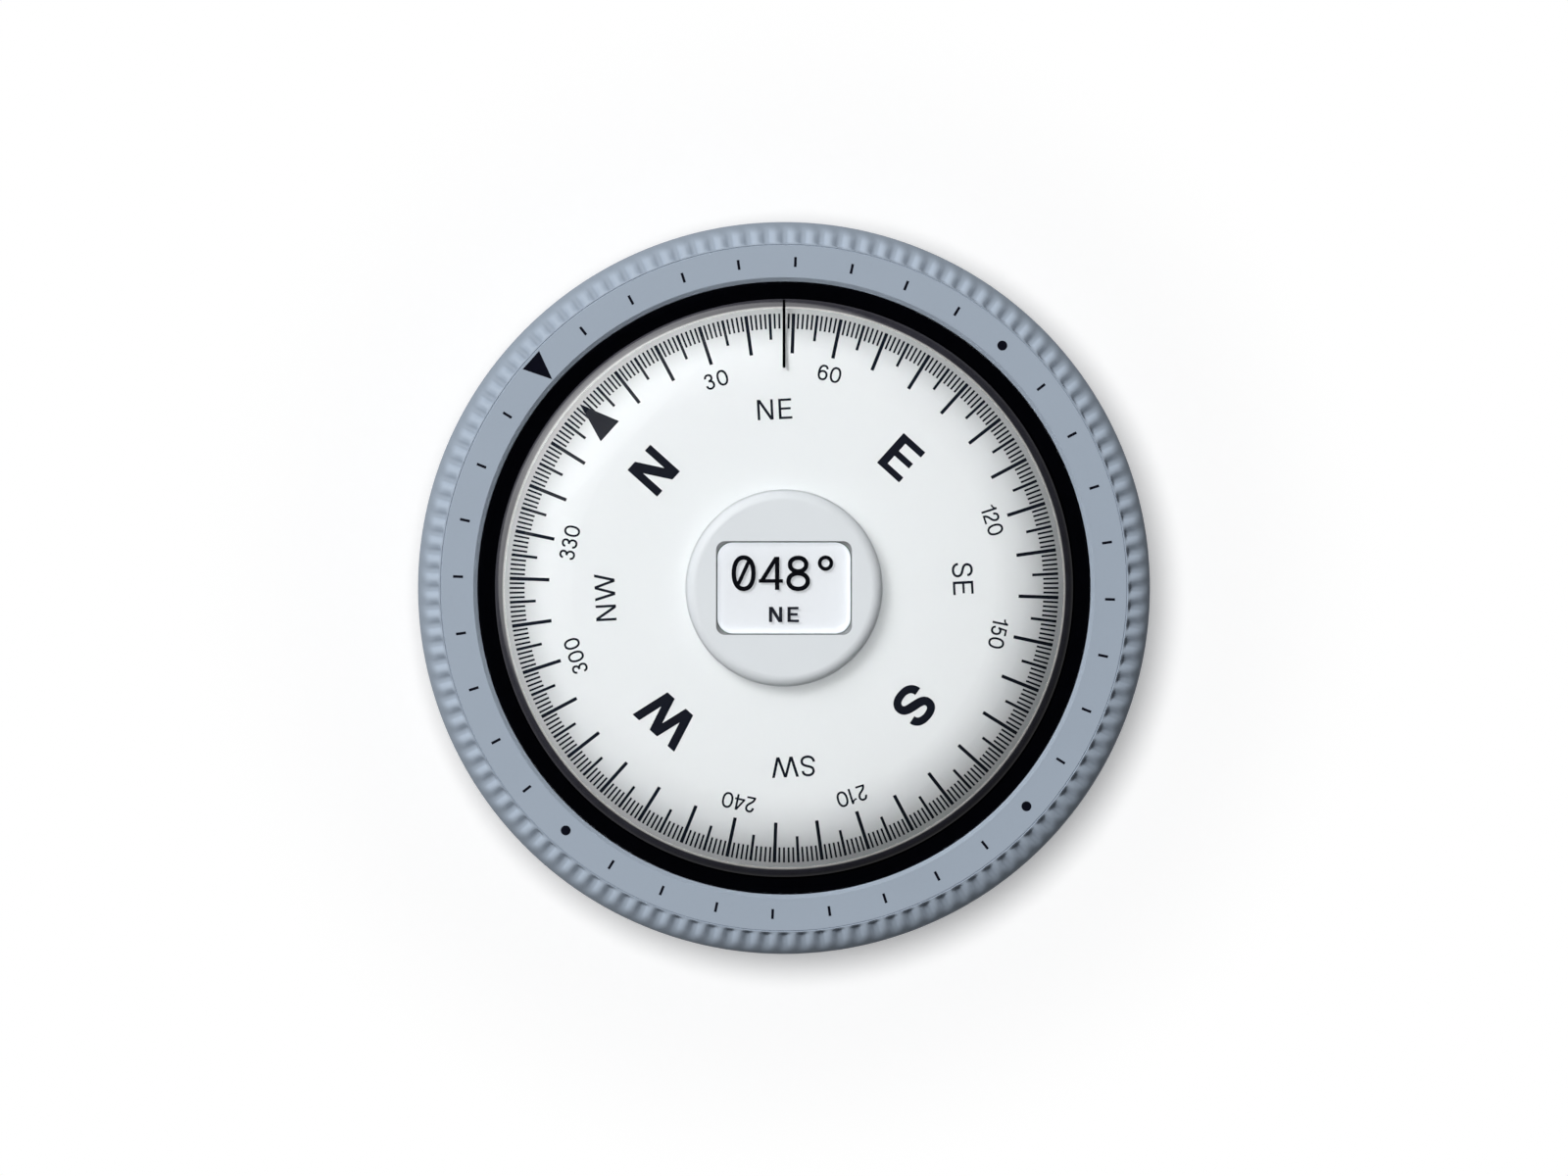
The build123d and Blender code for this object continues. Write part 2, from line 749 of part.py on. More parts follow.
def make_display_cover():
    """Rounded pod cover with a window over the display."""
    skirt_r = POD_R - POD_WALL
    shell = turned(
        (0, pod_ceiling),
        (skirt_r, pod_ceiling),
        (skirt_r, pod_z),
        (POD_R, pod_z),
        (POD_R, pod_top, POD_ROUND),
        (0, pod_top),
    )
    window = RectangleRounded(LCD_L + 2 * WINDOW_GAP, LCD_H + 2 * WINDOW_GAP, WINDOW_CORNER)
    return shell - plate(window, pod_ceiling, pod_top)


def make_crystal_gasket():
    """Flat gasket on the ledge under the crystal."""
    return ring(bore_r + GASKET_GAP, seat_r - GASKET_GAP, ledge_z, crystal_z)


def make_crystal():
    """Box crystal: a foot flange, a wall, a rounded shoulder, a bevel and a small arris round its flat top."""
    inner_r = plug_r - CRYSTAL_WALL
    flange_out_r = seat_r - CRYSTAL_FLANGE_GAP
    arris_r = crystal_flat_r + CRYSTAL_ARRIS_W
    arris_z = crystal_top - CRYSTAL_ARRIS_W * math.tan(math.radians(CRYSTAL_ARRIS))
    corner_z = arris_z - (plug_r - arris_r) * math.tan(math.radians(CRYSTAL_BEVEL))
    crystal = turned(
        (0, crystal_under),
        (inner_r, crystal_under, CRYSTAL_FILLET),
        (inner_r, crystal_z),
        (flange_out_r, crystal_z),
        (flange_out_r, crystal_flange_top),
        (plug_r, crystal_flange_top),
        (plug_r, corner_z, CRYSTAL_ROUND),
        (arris_r, arris_z),
        (crystal_flat_r, crystal_top),
        (0, crystal_top),
    )
    return crystal - make_lubber_pin()


def make_crystal_ring():
    """Black ring pressed into the collar, over the crystal's flange."""
    ring_in_r = plug_r + RING_GAP
    return turned(
        (ring_in_r, crystal_flange_top),
        (seat_r - RING_FIT, crystal_flange_top),
        (seat_r - RING_FIT, collar_top),
        (collar_r, collar_top),
        (collar_r, ring_top),
        (ring_in_r, ring_top),
    )


def make_flute_cutters():
    """One curved round tool for each flute, following the bezel's band."""
    tool = Torus(band_r + FLUTE_R - FLUTE_DEPTH, FLUTE_R, major_angle=FLUTE_END - FLUTE_START, align=None)
    tool = Pos(0, band_centre_r, band_centre_z) * Rot(0, 0, 90) * Rot(90, 0, 0) * Rot(0, 0, 90 - FLUTE_END) * tool
    return [turn * tool for turn in around(FLUTE_COUNT, BEZEL_SETTING)]


def make_bezel_blank():
    """Turned bezel with its wire groove, before flutes and marks."""
    wire_room = WIRE_R + WIRE_GAP
    half_way = (BAND_START + BAND_END) / 2
    lip = arc_point(band_r, BAND_END)
    band = ThreePointArc((flat_out_r, bezel_top), arc_point(band_r, half_way), lip)
    rest = FilletPolyline(
        lip,
        (bezel_r, bezel_z),
        (bezel_bore_r, bezel_z),
        (bezel_bore_r, wire_z - wire_room),
        (wire_major + wire_room, wire_z - wire_room),
        (wire_major + wire_room, wire_z + wire_room),
        (bezel_bore_r, wire_z + wire_room),
        (bezel_bore_r, ring_top),
        (flat_in_r, bezel_top),
        (flat_out_r - 2 * EDGE_GROOVE, bezel_top),
        (flat_out_r - EDGE_GROOVE, bezel_top - EDGE_GROOVE),
        (flat_out_r, bezel_top),
        radius=[BEZEL_EDGE_ROUND] + 9 * [0],
    )
    return revolve(Plane.XZ * make_face([band, rest]), Axis.Z)


def make_bezel_inlay():
    """Fill of the bezel's marks: a pointer, a dot at each other quarter, and ticks between."""
    mark_r = flat_in_r + MARK_INSET
    base_r = flat_in_r + POINTER_INSET + POINTER_L
    corners = [(0, flat_in_r + POINTER_INSET), (POINTER_W / 2, base_r), (-POINTER_W / 2, base_r)]
    pointer = make_face(Polyline(*corners, close=True))
    dot = Pos(0, mark_r) * Circle(DOT_R)
    tick = Pos(0, mark_r) * Rectangle(TICK_W, TICK_L)
    marks = [tick] * MARK_COUNT
    marks[:: MARK_COUNT // 4] = [pointer, dot, dot, dot]
    turns = around(MARK_COUNT, BEZEL_SETTING)
    low = bezel_top - MARK_DEPTH
    return Part() + [turn * plate(mark, low, bezel_top) for turn, mark in zip(turns, marks)]


def make_bezel_ring():
    """Fluted bezel with a pocket for each mark."""
    return make_bezel_blank() - make_flute_cutters() - make_bezel_inlay()


def make_bezel_friction_oring():
    """Ring in the case's shoulder that the bezel drags on."""
    return Pos(0, 0, friction_z) * Torus(friction_major, FRICTION_R)


def make_bezel_retaining_wire():
    """Open wire ring in the bezel's groove that runs in the case's groove."""
    section = Pos(wire_major, wire_z) * Circle(WIRE_R)
    wire = revolve(Plane.XZ * section, Axis.Z, 360 - WIRE_OPENING)
    return Rot(0, 0, BEZEL_SETTING) * wire


NODES = {
    "base_case": make_base_case,
    "foot_ring": make_foot_ring,
    "battery_cover": make_battery_cover,
    "battery_cover_oring": make_battery_cover_oring,
    "coin_cell": make_coin_cell,
    "battery_negative_spring": make_negative_spring,
    "battery_positive_clip": make_positive_clip,
    "circuit_board": make_circuit_board,
    "controller_chip": make_controller_chip,
    "heading_sensor": make_heading_sensor,
    "flex_connector": make_flex_connector,
    "display_flex": make_display_flex,
    "bridge": make_bridge,
    "frame_screws": make_frame_screws,
    "centre_post": make_centre_post,
    "bearing_inner_ring": make_bearing_inner_ring,
    "bearing_outer_ring": make_bearing_outer_ring,
    "bearing_balls": make_bearing_balls,
    "bearing_cage": make_bearing_cage,
    "bearing_clip": make_bearing_clip,
    "card_hub": make_card_hub,
    "card_magnets": make_card_magnets,
    "compass_card": make_compass_card,
    "card_screws": make_card_screws,
    "display_base": make_display_base,
    "display_board": make_display_board,
    "lcd_reflector": make_lcd_reflector,
    "lcd_seal": make_lcd_seal,
    "lcd_glass": make_lcd_glass,
    "display_gasket": make_display_gasket,
    "display_cover": make_display_cover,
    "lubber_pin": make_lubber_pin,
    "crystal_gasket": make_crystal_gasket,
    "crystal": make_crystal,
    "crystal_ring": make_crystal_ring,
    "bezel_ring": make_bezel_ring,
    "bezel_inlay": make_bezel_inlay,
    "bezel_friction_oring": make_bezel_friction_oring,
    "bezel_retaining_wire": make_bezel_retaining_wire,
}

os.makedirs("parts", exist_ok=True)
for node, make in NODES.items():
    export_step(make(), f"parts/{node}.step")
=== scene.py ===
"""Looks of a round card compass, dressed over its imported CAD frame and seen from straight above."""

from __future__ import annotations

import json
import logging
import math
from abc import ABC, abstractmethod
from collections.abc import Callable, Iterable, Sequence
from dataclasses import dataclass, field
from enum import Enum

import bmesh
import bpy
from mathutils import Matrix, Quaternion, Vector

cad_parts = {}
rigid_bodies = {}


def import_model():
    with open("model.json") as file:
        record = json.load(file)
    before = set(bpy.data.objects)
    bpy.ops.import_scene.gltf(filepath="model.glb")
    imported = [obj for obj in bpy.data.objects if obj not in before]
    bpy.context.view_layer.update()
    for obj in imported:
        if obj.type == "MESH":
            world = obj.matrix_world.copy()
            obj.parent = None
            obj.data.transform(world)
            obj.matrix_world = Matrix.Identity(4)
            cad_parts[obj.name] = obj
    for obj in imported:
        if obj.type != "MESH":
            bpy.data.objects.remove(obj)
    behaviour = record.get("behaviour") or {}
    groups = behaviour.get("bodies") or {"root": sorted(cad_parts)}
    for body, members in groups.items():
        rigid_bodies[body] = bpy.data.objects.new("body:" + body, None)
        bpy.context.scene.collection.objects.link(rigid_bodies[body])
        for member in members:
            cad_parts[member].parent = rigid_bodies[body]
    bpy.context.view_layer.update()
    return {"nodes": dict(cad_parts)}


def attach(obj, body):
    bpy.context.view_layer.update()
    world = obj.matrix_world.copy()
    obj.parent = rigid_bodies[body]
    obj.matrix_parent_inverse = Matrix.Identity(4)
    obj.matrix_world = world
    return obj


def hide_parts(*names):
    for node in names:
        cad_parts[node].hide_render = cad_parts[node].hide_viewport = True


LOG = logging.getLogger("compass")
MM = 0.001
GRID = 0.10174
PHOTO_WIDTH = 1600
FLUTES = 120
WELD = 0.0001

Point = tuple[float, float]
Colour = tuple[float, float, float]
Place = tuple[float, float, float]
Settings = dict[str, object]
Surface = Callable[[Point], Vector]
Section = Callable[[float], Sequence[Point]]

BLACK: Colour = (0.0, 0.0, 0.0)
WHITE: Colour = (1.0, 1.0, 1.0)
MAIN_LIGHT: Place = (-0.8, 0.8, 1.665)
EDGE_LIGHT: Place = (-0.334, 0.334, 0.387)
DIAL: Place = (0.0, 0.0, 0.013)
SHOULDER: Place = (0.0, 0.0, 0.018)


class Body(Enum):
    """The moving bodies that a piece can ride on."""

    CASE = "case"
    BEZEL = "bezel"
    CARD = "card"
    COVER = "battery_cover"


class Slot(Enum):
    """Names of the record's material slots; nothing in this script uses them."""

    MARK = "bezel_mark_fill"
    PIN = "pin_black"
    BEZEL = "bezel_anodised"
    GLASS = "clear_glass"
    RING = "ring_black"


def dim(tone: Colour, share: float) -> Colour:
    """A colour with each channel multiplied by a share."""
    return (tone[0] * share, tone[1] * share, tone[2] * share)


class Value:
    """A value that varies over a surface, held as the output socket of a node."""

    def __init__(self, tree: "Tree", socket: bpy.types.NodeSocket) -> None:
        """Wrap one output socket of a tree."""
        self.tree = tree
        self.socket = socket

    def _math(self, operation: str, first: "Number", second: "Number") -> "Value":
        """Add a Math node to the tree.

        Args:
            operation: The Math node's operation.
            first: The left-hand number.
            second: The right-hand number.

        Returns:
            The node's result.
        """
        made = self.tree.node("ShaderNodeMath", {"operation": operation}, {0: first, 1: second})
        return Value(self.tree, made.outputs[0])

    def __add__(self, other: "Number") -> "Value":
        """Sum of two numbers."""
        return self._math("ADD", self, other)

    def __radd__(self, other: "Number") -> "Value":
        """Sum of two numbers, with the plain one first."""
        return self._math("ADD", other, self)

    def __sub__(self, other: "Number") -> "Value":
        """Difference of two numbers."""
        return self._math("SUBTRACT", self, other)

    def __rsub__(self, other: "Number") -> "Value":
        """Difference of two numbers, with the plain one first."""
        return self._math("SUBTRACT", other, self)

    def __mul__(self, other: "Number") -> "Value":
        """Product of two numbers."""
        return self._math("MULTIPLY", self, other)

    def __rmul__(self, other: "Number") -> "Value":
        """Product of two numbers, with the plain one first."""
        return self._math("MULTIPLY", other, self)

    def __pow__(self, other: "Number") -> "Value":
        """One number raised to another."""
        return self._math("POWER", self, other)

    def __or__(self, other: "Number") -> "Value":
        """The larger of two masks."""
        return self._math("MAXIMUM", self, other)


Number = float | Value


class Tree:
    """A node tree, with short ways to add the nodes that the finishes need."""

    def __init__(self, nodes: bpy.types.NodeTree) -> None:
        """Empty a node tree and keep it."""
        self.nodes = nodes
        self.nodes.nodes.clear()

    def node(self, kind: str, settings: Settings | None = None, sockets: dict | None = None) -> bpy.types.Node:
        """Add one node.

        Args:
            kind: The node's Blender type.
            settings: Its own properties, set before its sockets.
            sockets: Values or links for its inputs, by name or place.

        Returns:
            The new node.
        """
        made = self.nodes.nodes.new(kind)
        for name, value in (settings or {}).items():
            setattr(made, name, value)
        for name, value in (sockets or {}).items():
            socket = made.inputs[name]
            if isinstance(value, Value):
                self.nodes.links.new(value.socket, socket)
            elif socket.type == "RGBA":
                socket.default_value = (*value, 1.0)
            else:
                socket.default_value = value
        return made

    def out(
        self, kind: str, output: str | int, settings: Settings | None = None, sockets: dict | None = None
    ) -> Value:
        """Add one node and take one of its outputs."""
        return Value(self, self.node(kind, settings, sockets).outputs[output])

    def path(self, ray: str) -> Value:
        """One of the Light Path masks."""
        return self.out("ShaderNodeLightPath", ray)

    def between(self, value: Value, low: float, high: float) -> Value:
        """A smooth mask that rises from 0 at one value to 1 at another."""
        sockets = {"Value": value, "From Min": low, "From Max": high}
        return self.out("ShaderNodeMapRange", "Result", {"interpolation_type": "SMOOTHSTEP"}, sockets)

    def mix(self, factor: Number, first: Colour | Value, second: Colour | Value) -> Value:
        """A colour between two others."""
        return self.out("ShaderNodeMix", 2, {"data_type": "RGBA"}, {0: factor, 6: first, 7: second})

    def vary(self, factor: Number, tone: Colour, low: float, high: float) -> Value:
        """A tone that goes from one share of itself to another."""
        return self.mix(factor, dim(tone, low), dim(tone, high))

    def part(self, vector: Value, axis: str) -> Value:
        """One coordinate of a vector."""
        return self.out("ShaderNodeSeparateXYZ", axis, None, {0: vector})


class Shade(Tree):
    """One material and the nodes that make it, in the compass's own millimetres."""

    def __init__(self, name: str) -> None:
        """Start an empty material.

        Args:
            name: The material's name.
        """
        self.material = bpy.data.materials.new(name)
        self.material.use_nodes = True
        super().__init__(self.material.node_tree)

    def place(self) -> Value:
        """Where a point is on the part, in metres."""
        return self.out("ShaderNodeTexCoord", "Object")

    def radius(self) -> Value:
        """Distance from the turning axis, in millimetres.

        Returns:
            The distance all over the part.
        """
        place = self.place()
        flat = self.part(place, "X") ** 2.0 + self.part(place, "Y") ** 2.0
        return flat**0.5 * (1.0 / MM)

    def noise(self, size: float, detail: float = 2.0, stretch: Colour | None = None) -> Value:
        """Soft random grain.

        Args:
            size: The size of one grain, in millimetres.
            detail: How many finer layers are added.
            stretch: How many times closer the grain is along each axis.

        Returns:
            Numbers round 0.5.
        """
        place = self.place()
        if stretch is not None:
            place = self.out("ShaderNodeVectorMath", 0, {"operation": "MULTIPLY"}, {0: place, 1: stretch})
        sockets = {"Vector": place, "Scale": 1.0 / (size * MM), "Detail": detail}
        return self.out("ShaderNodeTexNoise", 0, None, sockets)

    def sine(self, value: Value) -> Value:
        """Sine of a number in radians."""
        return self.out("ShaderNodeMath", 0, {"operation": "SINE"}, {0: value})

    def bump(self, height: Value, depth: float) -> Value:
        """A normal that follows a height, whose unit is a depth in millimetres."""
        return self.out("ShaderNodeBump", 0, None, {"Height": height, "Distance": depth * MM, "Strength": 1.0})

    def show(self, shader: Value) -> bpy.types.Material:
        """Put a shader on the surface and give the material."""
        self.node("ShaderNodeOutputMaterial", None, {"Surface": shader})
        return self.material


class Finish(ABC):
    """A finish of one of the compass's pieces, which makes its own material."""

    @abstractmethod
    def sockets(self, shade: Shade) -> Settings:
        """What the finish sets on the main shader."""

    def shader(self, shade: Shade) -> Value:
        """The shader that goes on the surface."""
        return shade.out("ShaderNodeBsdfPrincipled", 0, None, self.sockets(shade))

    def material(self, name: str) -> bpy.types.Material:
        """Make the material under a name."""
        shade = Shade(name)
        return shade.show(self.shader(shade))


@dataclass(frozen=True)
class Anodised(Finish):
    """Satin anodised aluminium: a blasted grain over faint turned rings, with a painted highlight on its flute
    crests and painted shade in its flute grooves and on its outer rim.
    """

    tone: Colour
    roughness: float = 0.58
    metal: float = 0.0
    ring_pitch: float = 0.22
    grain: float = 0.16
    cloud: float = 12.0
    depth: float = 0.0016
    shine: float = 0.12
    flutes: int = 0
    groove: Point = (-0.1, 0.8)
    flute_start: Point = (35.75, 35.9)
    flute_end: Point = (36.85, 37.75)
    rim_start: Point = (36.8, 37.75)
    # Painted light on the flutes: the first share below lightens the crests as a painted highlight, the second
    # darkens the grooves as painted shade, and the third darkens the outer rim as painted shade.
    crest: float = 1.14
    recess: float = 0.88
    rim: float = 0.82

    def fluted(self, shade: Shade, tone: Value) -> Value:
        """Paint light and shade on the fluted edge: a painted highlight on its crests, painted shade in its
        grooves and on its outer rim.

        Args:
            shade: The material's nodes.
            tone: The tone of the rest.

        Returns:
            The tone all over.
        """
        place, radius = shade.place(), shade.radius()
        sides = {0: shade.part(place, "Y"), 1: shade.part(place, "X")}
        angle = shade.out("ShaderNodeMath", 0, {"operation": "ARCTAN2"}, sides)
        groove = shade.between(shade.sine(angle * float(self.flutes) + math.pi / 2), *self.groove)
        band = shade.between(radius, *self.flute_start) * (1.0 - shade.between(radius, *self.flute_end))
        # Painted highlight on the crests and painted shade in the grooves, then painted shade over the outer rim.
        edge = shade.mix(band, tone, shade.vary(groove, self.tone, self.crest, self.recess))
        return shade.mix(shade.between(radius, *self.rim_start), edge, dim(self.tone, self.rim))

    def sockets(self, shade: Shade) -> Settings:
        """A grainy, faintly ringed metal with a cloudy tone.

        Args:
            shade: The material's nodes.

        Returns:
            The main shader's sockets.
        """
        rings = shade.sine(shade.radius() * (math.tau / self.ring_pitch))
        grain = shade.noise(self.grain)
        cloud = shade.noise(self.cloud, 3.0)
        tone = shade.vary(cloud * 0.6 + grain * 0.4, self.tone, 0.95, 1.05)
        return {
            "Base Color": self.fluted(shade, tone) if self.flutes else tone,
            "Metallic": self.metal,
            "Roughness": self.roughness - 0.04 + cloud * 0.06 + rings * 0.01,
            "Specular IOR Level": self.shine,
            "Normal": shade.bump(grain + rings * 0.15, self.depth),
        }


@dataclass(frozen=True)
class Ink(Finish):
    """Matt black print, fill or paint, slightly uneven in its density."""

    tone: Colour
    roughness: float = 0.55
    shine: float = 0.06
    patch: float = 0.9
    pore: float = 0.09
    depth: float = 0.0012

    def sockets(self, shade: Shade) -> Settings:
        """A dense, porous film of uneven tone.

        Args:
            shade: The material's nodes.

        Returns:
            The main shader's sockets.
        """
        density = shade.noise(self.patch, 3.0)
        return {
            "Base Color": shade.vary(density, self.tone, 0.6, 1.4),
            "Roughness": self.roughness - 0.05 + density * 0.1,
            "Specular IOR Level": self.shine,
            "Normal": shade.bump(shade.noise(self.pore), self.depth),
        }


@dataclass(frozen=True)
class Enamel(Finish):
    """White card enamel with painted shade that greys it towards the rim, outside its scale."""

    tone: Colour
    # Painted shade: the tone that the card greys to at its rim, and the radii over which it greys.
    margin: Colour
    margin_start: float
    margin_end: float
    roughness: float = 0.5
    shine: float = 0.3
    cloud: float = 14.0
    tooth: float = 0.2
    depth: float = 0.001

    def sockets(self, shade: Shade) -> Settings:
        """A white film with a fine tooth, greyed towards the rim by painted shade.

        Args:
            shade: The material's nodes.

        Returns:
            The main shader's sockets.
        """
        tooth = shade.noise(self.tooth)
        white = shade.vary(shade.noise(self.cloud, 3.0) * 0.7 + tooth * 0.3, self.tone, 0.985, 1.015)
        # Painted shade: the white greys towards the rim, between the two radii.
        edge = shade.between(shade.radius(), self.margin_start, self.margin_end)
        return {
            "Base Color": shade.mix(edge, white, self.margin),
            "Roughness": self.roughness + tooth * 0.08,
            "Specular IOR Level": self.shine,
            "Normal": shade.bump(tooth, self.depth),
        }


@dataclass(frozen=True)
class Moulded(Finish):
    """Moulded plastic with a fine spark-eroded texture, and painted shade along its foot where it has one."""

    tone: Colour
    roughness: float = 0.4
    coat: float = 0.0
    coat_roughness: float = 0.3
    grain: float = 0.18
    flow: float = 5.0
    depth: float = 0.002
    # Painted shade: round and below this height the tone darkens to a share of itself, standing for the shade low
    # on a rounded edge.
    foot: float = 0.0
    foot_half: float = 0.25
    foot_share: float = 0.72

    def sockets(self, shade: Shade) -> Settings:
        """A grainy plastic whose tone follows its flow in the mould, with painted shade at its foot.

        Args:
            shade: The material's nodes.

        Returns:
            The main shader's sockets.
        """
        grain = shade.noise(self.grain)
        tone = shade.vary(shade.noise(self.flow, 2.0, (1.0, 0.4, 1.0)), self.tone, 0.975, 1.025)
        # Painted shade: the tone darkens towards and below the foot height.
        if self.foot > 0.0:
            height = shade.part(shade.place(), "Z") * (1.0 / MM)
            above = shade.between(height, self.foot - self.foot_half, self.foot + self.foot_half)
            tone = shade.mix(above, dim(self.tone, self.foot_share), tone)
        return {
            "Base Color": tone,
            "Roughness": self.roughness - 0.03 + grain * 0.06,
            "Coat Weight": self.coat,
            "Coat Roughness": self.coat_roughness,
            "Normal": shade.bump(grain, self.depth),
        }


@dataclass(frozen=True)
class Rubber(Finish):
    """Matt rubber with a fine skin and a little pale bloom."""

    tone: Colour
    bloom: float = 0.05
    roughness: float = 0.72
    shine: float = 0.3
    skin: float = 0.25
    patch: float = 4.0
    depth: float = 0.006

    def sockets(self, shade: Shade) -> Settings:
        """A dull skin with pale patches.

        Args:
            shade: The material's nodes.

        Returns:
            The main shader's sockets.
        """
        skin = shade.noise(self.skin, 3.0)
        bloom = shade.between(shade.noise(self.patch, 4.0), 0.45, 0.75)
        pale = tuple(channel + self.bloom for channel in self.tone)
        return {
            "Base Color": shade.mix(bloom, self.tone, pale),
            "Roughness": self.roughness + skin * 0.15,
            "Specular IOR Level": self.shine,
            "Normal": shade.bump(skin, self.depth),
        }


@dataclass(frozen=True)
class BareMetal(Finish):
    """Plain metal with fine tool lines and a few cloudy patches."""

    tone: Colour
    roughness: float = 0.28
    line_pitch: float = 0.12
    tarnish: Colour = (0.20, 0.18, 0.16)
    waver: float = 0.8
    patch: float = 3.0
    depth: float = 0.0008

    def sockets(self, shade: Shade) -> Settings:
        """A bright metal with wavering lines and some tarnish.

        Args:
            shade: The material's nodes.

        Returns:
            The main shader's sockets.
        """
        waver = shade.noise(self.waver) * 4.0
        lines = shade.sine(shade.radius() * (math.tau / self.line_pitch) + waver)
        patch = shade.between(shade.noise(self.patch, 4.0), 0.5, 0.85)
        return {
            "Base Color": shade.mix(patch * 0.35, self.tone, self.tarnish),
            "Metallic": 1.0,
            "Roughness": self.roughness + patch * 0.15 + lines * 0.03,
            "Normal": shade.bump(lines, self.depth),
        }


@dataclass(frozen=True)
class ClearGlass(Finish):
    """Polished glass that lamps shine through, with the faintest wipe marks."""

    tint: Colour
    bend: float = 1.5
    wipe: float = 2.2

    def sockets(self, shade: Shade) -> Settings:
        """A clear glass, dulled a little along its wipe marks.

        Args:
            shade: The material's nodes.

        Returns:
            The main shader's sockets.
        """
        wipe = shade.between(shade.noise(self.wipe, 4.0, (0.35, 1.0, 1.0)), 0.55, 0.8)
        return {
            "Base Color": self.tint,
            "Roughness": wipe * 0.02,
            "IOR": self.bend,
            "Transmission Weight": 1.0,
        }

    def shader(self, shade: Shade) -> Value:
        """The glass, open to the light that falls through it.

        Args:
            shade: The material's nodes.

        Returns:
            The glass where it is seen, and plain air where light passes.
        """
        clear = shade.out("ShaderNodeBsdfTransparent", 0, None, {"Color": self.tint})
        lit = shade.path("Is Shadow Ray") | shade.path("Is Diffuse Ray")
        return shade.out("ShaderNodeMixShader", 0, None, {0: lit, 1: super().shader(shade), 2: clear})


@dataclass(frozen=True)
class Lacquer(Finish):
    """Black lacquer on a glass edge that thins to grey inward, glossy, with a little orange peel."""

    tone: Colour
    thin: Colour
    thin_r: float
    full_r: float
    roughness: float = 0.2
    bend: float = 1.2
    peel: float = 1.4
    depth: float = 0.001

    def sockets(self, shade: Shade) -> Settings:
        """A peeled black coat over a grey start.

        Args:
            shade: The material's nodes.

        Returns:
            The main shader's sockets.
        """
        peel = shade.noise(self.peel)
        full = shade.between(shade.radius(), self.thin_r, self.full_r)
        return {
            "Base Color": shade.mix(full, self.thin, shade.vary(peel, self.tone, 0.7, 1.3)),
            "Roughness": self.roughness - 0.02 + peel * 0.04,
            "IOR": self.bend,
            "Normal": shade.bump(peel, self.depth),
        }


@dataclass(frozen=True)
class Plate(Finish):
    """Pale reflector behind the display's figures, with a faint brushed lustre."""

    tone: Colour
    roughness: float = 0.5
    shine: float = 0.2
    brush: float = 0.3
    depth: float = 0.0008

    def sockets(self, shade: Shade) -> Settings:
        """A pale plate brushed along its length.

        Args:
            shade: The material's nodes.

        Returns:
            The main shader's sockets.
        """
        brush = shade.noise(self.brush, 2.0, (0.15, 1.0, 1.0))
        return {
            "Base Color": shade.vary(brush, self.tone, 0.985, 1.01),
            "Roughness": self.roughness + brush * 0.1,
            "Specular IOR Level": self.shine,
            "Normal": shade.bump(brush, self.depth),
        }


@dataclass(frozen=True)
class Laminate(Finish):
    """Circuit board: solder mask over copper tracks that show as paler lines."""

    tone: Colour
    track: Colour
    pitch: float = 1.3
    region: float = 4.5
    weave: float = 0.35
    roughness: float = 0.34
    depth: float = 0.02

    def sockets(self, shade: Shade) -> Settings:
        """Tracks that run along the board in some regions and across it in the others.

        Args:
            shade: The material's nodes.

        Returns:
            The main shader's sockets.
        """
        place = shade.place()
        step = math.tau / (self.pitch * MM)
        along = shade.between(shade.sine(shade.part(place, "X") * step), 0.55, 0.75)
        across = shade.between(shade.sine(shade.part(place, "Y") * step), 0.55, 0.75)
        region = shade.between(shade.noise(self.region, 0.0), 0.48, 0.52)
        tracks = along * region + across * (1.0 - region)
        weave = shade.noise(self.weave)
        return {
            "Base Color": shade.mix(tracks, shade.vary(weave, self.tone, 0.85, 1.15), self.track),
            "Roughness": self.roughness + weave * 0.1,
            "Normal": shade.bump(tracks + weave * 0.2, self.depth),
        }


@dataclass(frozen=True)
class Film(Finish):
    """Amber flexible film with copper tracks along it."""

    tone: Colour
    copper: Colour
    pitch: float = 0.4
    cloud: float = 1.5
    roughness: float = 0.28
    depth: float = 0.01

    def sockets(self, shade: Shade) -> Settings:
        """A cloudy amber film over straight tracks.

        Args:
            shade: The material's nodes.

        Returns:
            The main shader's sockets.
        """
        step = math.tau / (self.pitch * MM)
        track = shade.between(shade.sine(shade.part(shade.place(), "Y") * step), 0.0, 0.3)
        cloud = shade.noise(self.cloud, 3.0)
        return {
            "Base Color": shade.mix(track * 0.7, shade.vary(cloud, self.tone, 0.85, 1.15), self.copper),
            "Roughness": self.roughness + cloud * 0.12,
            "Normal": shade.bump(track, self.depth),
        }


@dataclass(frozen=True)
class Ribbon:
    """One printed stroke, held as matching points on its left and right edges."""

    left: tuple[Point, ...]
    right: tuple[Point, ...]
    closed: bool = False

    def moved(self, across: float, up: float) -> "Ribbon":
        """The same stroke, shifted on the lettering grid.

        Args:
            across: The shift to the right.
            up: The shift upwards.

        Returns:
            The shifted stroke.
        """
        left = tuple((x + across, y + up) for x, y in self.left)
        right = tuple((x + across, y + up) for x, y in self.right)
        return Ribbon(left, right, self.closed)


def upright(left: float, right: float, low: float, high: float) -> Ribbon:
    """A straight-sided block of a letter."""
    return Ribbon(((left, low), (left, high)), ((right, low), (right, high)))


def slant(foot: Point, low: float, head: Point, high: float) -> Ribbon:
    """A sloping stroke, cut level, from its span at the foot to its span at the head."""
    return Ribbon(((foot[0], low), (head[0], high)), ((foot[1], low), (head[1], high)))


